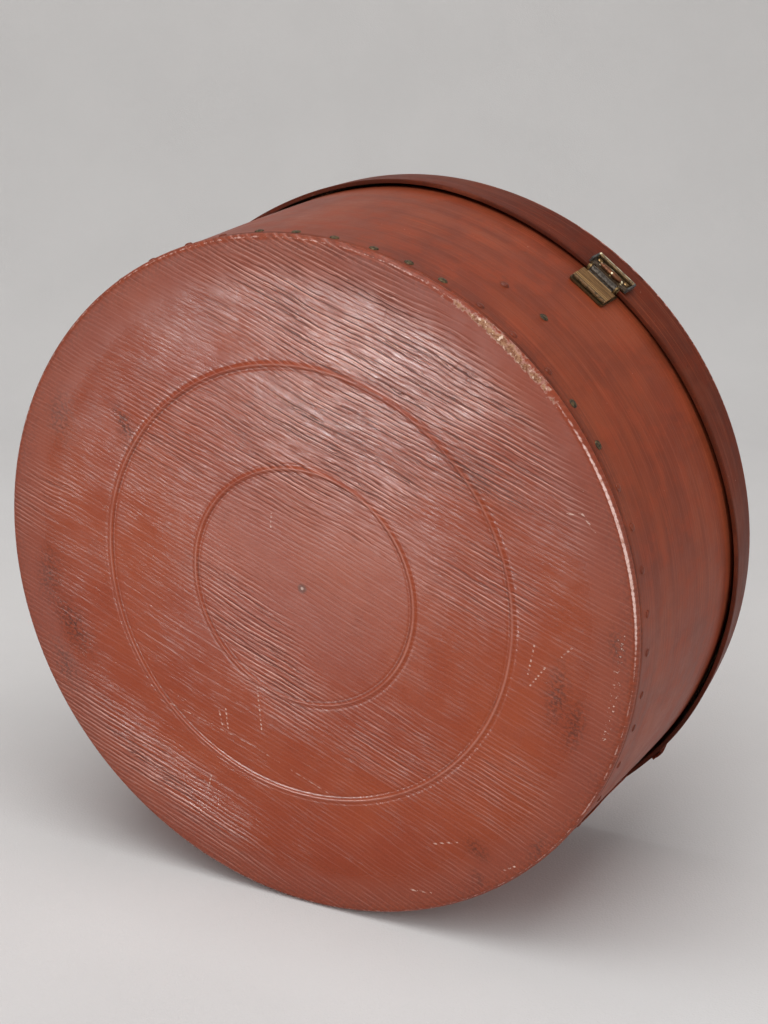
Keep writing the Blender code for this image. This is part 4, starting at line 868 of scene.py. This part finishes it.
def make_nails(bare, painted):
    """Ring of nail heads at the foot of the wall: bare ones and ones that the red coat still covers."""
    source = np.random.default_rng(3)
    meshes = {"nails_bare": (bmesh.new(), bare), "nails_coated": (bmesh.new(), painted)}
    for index in range(NAIL_COUNT):
        azimuth = NAIL_START + TAU * index / NAIL_COUNT + math.radians(source.uniform(-0.5, 0.5))
        azimuth += math.radians(0.9) if 44 < index < 51 else 0.0
        outward = Vector((math.cos(azimuth), math.sin(azimuth), 0.0))
        height = NAIL_HEIGHT + NAIL_TILT * math.cos(azimuth) + source.uniform(-0.0007, 0.0007)
        name = "nails_bare" if index in BARE_NAILS else "nails_coated"
        radius = NAIL_RADIUS * (1.0 if name == "nails_bare" else COATED_SHARE)
        centre = outward * BODY_RADIUS + Vector((0.0, 0.0, height))
        dome(meshes[name][0], centre, outward, radius, NAIL_CROWN)
    for name, (work, material) in meshes.items():
        mesh = bpy.data.meshes.new(name)
        work.to_mesh(mesh)
        work.free()
        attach(added(name, mesh, material), "box")


def skirt_masks(x, y, z):
    """Dirt along the rim and wear along the lid's top edge."""
    soil = 0.5 * np.exp(-((z - RIM) / 0.003) ** 2)
    wear = 0.30 * np.exp(-((z - SKIRT_TOP) / 0.0035) ** 2)
    return {"soil": soil, "wear": wear}


def skirt_relief(x, y, z):
    """The rim standing out, none of it left at the lid's top edge."""
    share = np.clip((LID_TOP - z) / (LID_TOP - RIM), 0.0, 1.0)
    return *pushed(x, y, bulge(np.arctan2(y, x)) * share ** FLARE_POWER), z


def make_skirt(material, board):
    """Cloth of the lid's skirt, turned in under the rim, and the hoop that it covers."""
    low = RIM
    high = SKIRT_TOP
    profile = [(LID_RADIUS - 0.0006, low), (LID_RADIUS - 0.0002, low + 0.0002)]
    profile += run((LID_RADIUS, low + 0.0006), (LID_RADIUS, high), STEP)
    profile += [(LID_RADIUS, high), (LID_RADIUS - CLOTH, high), (LID_RADIUS - CLOTH, low + CLOTH),
                (SKIRT_INNER, low + CLOTH), (SKIRT_INNER, low)]
    piece = turned("skirt_cloth", profile, material, skirt_relief, skirt_masks)
    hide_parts("skirt_cover")
    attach(piece, "lid")
    hoop_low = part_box("lid_hoop")[0].z
    hoop_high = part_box("lid_hoop")[1].z
    outer = LID_RADIUS - CLOTH - SEAM
    profile = run((outer, hoop_low), (outer, hoop_high), 2 * STEP) + [(outer, hoop_high)]
    profile += run((SKIRT_INNER, hoop_high), (SKIRT_INNER, hoop_low), 2 * STEP) + [(SKIRT_INNER, hoop_low)]
    piece = turned("skirt_board", profile, board, skirt_relief)
    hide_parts("lid_hoop")
    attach(piece, "lid")


def curved_tab(name, azimuths, heights, radius, thickness, material, skew=0.0):
    """Flat end of a cloth, bent round the box, with cut edges that are not quite straight."""
    columns, rows = 14, 12
    edge_share = 0.82
    work = bmesh.new()
    layers = []
    for lift in (0.0, thickness):
        grid = []
        for row in range(rows + 1):
            level = heights[0] + (heights[1] - heights[0]) * row / rows
            line = []
            for column in range(columns + 1):
                share = column / columns
                azimuth = azimuths[0] + (azimuths[1] - azimuths[0]) * share + skew * row / rows
                edge = 0.0006 * math.sin(row * 1.9) * (column in (0, columns)) / BODY_RADIUS
                rise = lift * (1.0 if 0 < column < columns and 0 < row < rows else edge_share)
                reach = radius(azimuth, level) + rise + 0.0003 * math.sin(share * 5.0 + row * 0.6)
                height = level + 0.0005 * math.sin(column * 1.3) * (row in (0, rows))
                azimuth += edge
                line.append(work.verts.new((math.cos(azimuth) * reach, math.sin(azimuth) * reach, height)))
            grid.append(line)
        layers.append(grid)
    inner, outer = layers
    for row in range(rows):
        for column in range(columns):
            a, b = (row, column), (row, column + 1)
            c, d = (row + 1, column + 1), (row + 1, column)
            work.faces.new([outer[i][j] for i, j in (a, b, c, d)])
            work.faces.new([inner[i][j] for i, j in (d, c, b, a)])
    ring = [(0, j) for j in range(columns)] + [(i, columns) for i in range(rows)]
    ring += [(rows, j) for j in range(columns, 0, -1)] + [(i, 0) for i in range(rows, 0, -1)]
    for (i, j), (k, l) in zip(ring, ring[1:] + ring[:1]):
        work.faces.new((inner[i][j], inner[k][l], outer[k][l], outer[i][j]))
    bmesh.ops.recalc_face_normals(work, faces=work.faces)
    mesh = bpy.data.meshes.new(name)
    work.to_mesh(mesh)
    work.free()
    return added(name, mesh, material, 40.0)


def make_laps(wall_material, skirt_material):
    """Ends of the wall's and the skirt's cloth at the right-hand side."""
    def on_skirt(azimuth, level):
        share = min(1.0, max(0.0, (LID_TOP - level) / (LID_TOP - RIM)))
        return LID_RADIUS + float(bulge(azimuth)) * share ** FLARE_POWER + SEAM

    def on_wall(azimuth, level):
        share = smooth(level, WALL_STIFF, RIM - 0.003)
        return BODY_RADIUS + max(0.0, float(bulge(azimuth))) * WALL_FOLLOW * float(share) + SEAM

    low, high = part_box("skirt_lap")
    start, end = (math.atan2(value, low.x) for value in (low.y - 0.002, high.y - 0.018))
    piece = curved_tab("skirt_tab", (start, end), (low.z, high.z), on_skirt, 0.0020, skirt_material, 0.026)
    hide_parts("skirt_lap")
    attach(piece, "lid")
    low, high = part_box("wall_lap")
    start, end = (math.atan2(value, low.x) for value in (low.y, high.y))
    piece = curved_tab("wall_tab", (start, end), (low.z, high.z), on_wall, 0.0008, wall_material)
    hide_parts("wall_lap")
    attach(piece, "box")


def lid_masks(x, y, z):
    """Dirt and wear along the edge."""
    radius = np.hypot(x, y)
    edge = np.exp(-((radius - LID_RADIUS + 0.002) / 0.0045) ** 2)
    return {"soil": 0.35 * edge, "wear": 0.42 * edge}


def lid_relief(x, y, z):
    """Rings and waves of the cloth."""
    radius = np.hypot(x, y)
    outer_face = z > LID_TOP - CLOTH / 2
    inside = 1.0 - smooth(radius, 0.200, 0.226)
    waves = ripples(x, y, (0.22, 0.18, 0.13, 0.10), 5) * 0.00035
    return x, y, z + np.where(outer_face, waves * inside + bead_rise(radius), 0.0)


def make_lid(material):
    """Cloth of the lid with its two rings, turned down over the edge."""
    centre = (LID_RADIUS - EDGE_RADIUS, LID_TOP - EDGE_RADIUS)
    profile = ringed(centre[0], LID_TOP) + arc(centre, EDGE_RADIUS, 90.0, 0.0, 8)
    lower = SKIRT_TOP + SEAM
    profile += [(LID_RADIUS, lower), (LID_RADIUS - CLOTH, lower)]
    profile += arc(centre, EDGE_RADIUS - CLOTH, 0.0, 90.0, 4)
    profile += [(0.0, LID_TOP - CLOTH)]
    piece = turned("lid_cloth", profile, material, lid_relief, lid_masks, closed=False)
    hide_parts("lid_cover")
    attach(piece, "lid")


def dress(material, *nodes):
    """Gives CAD nodes a detailed material."""
    for node in nodes:
        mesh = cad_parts[node].data
        mesh.materials.clear()
        mesh.materials.append(material)


def studio_axes():
    """Right, up and depth of the studio as the camera sees it."""
    up = FLOOR_UP.normalized()
    forward = CAMERA_UP.cross(CAMERA_RIGHT)
    depth = (forward - up * forward.dot(up)).normalized()
    right = depth.cross(up)
    return right, up, depth


def make_studio():
    """Floor that runs into a backdrop, touching the box where it lies on its side."""
    right, up, depth = studio_axes()
    origin = up * FLOOR_LEVEL
    back, bend, wall, width = 1.15, 0.55, 2.6, 3.2
    route = [(-2.2, 0.0), (-0.6, 0.0), (back, 0.0)]
    for angle in np.radians(np.arange(5, 91, 5)):
        route.append((back + bend * math.sin(angle), bend * (1.0 - math.cos(angle))))
    route.append((back + bend, bend + wall))
    work = bmesh.new()
    rows = []
    for away, lift in route:
        middle = origin + depth * away + up * lift
        rows.append([work.verts.new(middle + right * side) for side in (-width, width)])
    for low, high in zip(rows, rows[1:]):
        work.faces.new((low[0], low[1], high[1], high[0]))
    mesh = bpy.data.meshes.new("studio_cloth")
    work.to_mesh(mesh)
    work.free()
    mesh.shade_smooth()
    mesh.materials.append(studio_look())
    piece = bpy.data.objects.new("studio_cloth", mesh)
    bpy.context.scene.collection.objects.link(piece)


def lamp(name, place, target, size, power):
    """Soft square lamp at a place of the studio, aimed at another."""
    data = bpy.data.lights.new(name, "AREA")
    data.shape = "RECTANGLE"
    data.size, data.size_y = size
    data.energy = power
    item = bpy.data.objects.new(name, data)
    bpy.context.scene.collection.objects.link(item)
    item.location = place
    item.rotation_mode = "QUATERNION"
    item.rotation_quaternion = (target - place).to_track_quat("-Z", "Y")
    item.visible_camera = False
    return item


def make_lamps():
    """Broad soft lamps round the box, a smaller one at the left and one that shows as gloss alone."""
    right, up, depth = studio_axes()
    middle = Vector((0.0, 0.0, 0.09))
    base = Vector((0.0, 0.0, 0.0))
    forward = CAMERA_UP.cross(CAMERA_RIGHT)

    def spot(across, lift, away):
        return middle + right * across + up * lift + depth * away

    def seen(across, lift, away, distance):
        way = (CAMERA_RIGHT * across + CAMERA_UP * lift + forward * away).normalized()
        return base + way * distance

    lamp("lamp_above", spot(-0.1, 1.6, -0.5), middle, (1.8, 1.4), 23.0)
    lamp("lamp_front", seen(-0.25, 0.30, -0.9, 2.2), base, (1.1, 1.1), 6.5)
    window = lamp("lamp_window", seen(-0.79, -0.334, -0.513, 2.0), base, (0.34, 0.34), 11.5)
    sheen = Vector((-0.03, -0.16, 0.0))
    gloss = lamp("lamp_gloss", Vector((-0.190, 0.240, -0.705)), sheen, (0.17, 0.17), 1.6)
    gloss.visible_diffuse = False
    for item in (window, gloss):
        item.data.cycles.use_multiple_importance_sampling = False
    lamp("lamp_right", spot(1.6, 0.05, -1.0), middle, (1.0, 0.7), 8.0)
    lamp("lamp_below", spot(0.5, -1.6, -0.1), middle, (1.6, 1.6), 6.0)


def make_world():
    """Even grey light from all round."""
    world = bpy.data.worlds.new("studio_world")
    world.use_nodes = True
    background = world.node_tree.nodes["Background"]
    background.inputs["Color"].default_value = (0.38, 0.38, 0.39, 1.0)
    background.inputs["Strength"].default_value = 0.8
    bpy.context.scene.world = world


def make_camera():
    """Camera as fitted to the photograph."""
    data = bpy.data.cameras.new("camera")
    data.lens = LENS
    data.sensor_width = 36.0
    data.clip_start = 0.05
    data.clip_end = 50.0
    camera = bpy.data.objects.new("camera", data)
    bpy.context.scene.collection.objects.link(camera)
    turn = Matrix((CAMERA_RIGHT, CAMERA_UP, CAMERA_RIGHT.cross(CAMERA_UP))).transposed()
    camera.matrix_world = Matrix.Translation(CAMERA_PLACE) @ turn.to_4x4()
    bpy.context.scene.camera = camera


base_look = base_leather("base_cloth_look", BASE_TONE, True)
lid_look = base_leather("lid_cloth_look", BASE_TONE, False)
wall_look = side_leather("wall_cloth_look", WALL_TONE, 0.38, 0.26, 0.20)
coat_look = side_leather("nail_coat_look", tint(WALL_TONE, 0.72), 0.34, 0.20, 0.30)
skirt_look = side_leather("skirt_cloth_look", SKIRT_TONE, 0.46, 0.32, 0.10)
board = raw_board()
brass = old_brass("old_brass_look", (0.42, 0.250, 0.105), (0.17, 0.100, 0.046), (0.10, 0.105, 0.06))
dark_brass = old_brass("dark_brass_look", (0.22, 0.140, 0.060), (0.075, 0.048, 0.022), (0.11, 0.12, 0.06))
iron = nail_iron()

make_camera()
make_base(base_look, board)
make_wall(wall_look)
make_nails(iron, coat_look)
make_skirt(skirt_look, board)
make_laps(wall_look, skirt_look)
make_lid(lid_look)
dress(dark_brass, "clasp_pin", "clasp_plate", "clasp_rivet_left", "clasp_rivet_right")
dress(clasp_face(), "clasp_lever")
dress(clasp_cup(), "clasp_keeper")
dress(brass,
      "handle_loop_left", "handle_loop_right", "hinge_leaf_lower", "hinge_leaf_upper", "hinge_pin",
      "keeper_rivet_left", "keeper_rivet_right", "lower_rivet_left", "lower_rivet_right",
      "upper_rivet_left", "upper_rivet_right")
dress(iron, "wall_nail_front")
dress(coat_look, "wall_nail_side")
dress(board, "wall_hoop", "lid_panel")
dress(bent_wood(), "base_ring")
dress(lining_paper(round_route), "wall_lining")
dress(lining_paper(flat_route), "base_lining", "lid_lining")
dress(plain_leather(), "handle_grip")
make_studio()
make_lamps()
make_world()
bpy.context.scene.view_settings.view_transform = "Standard"
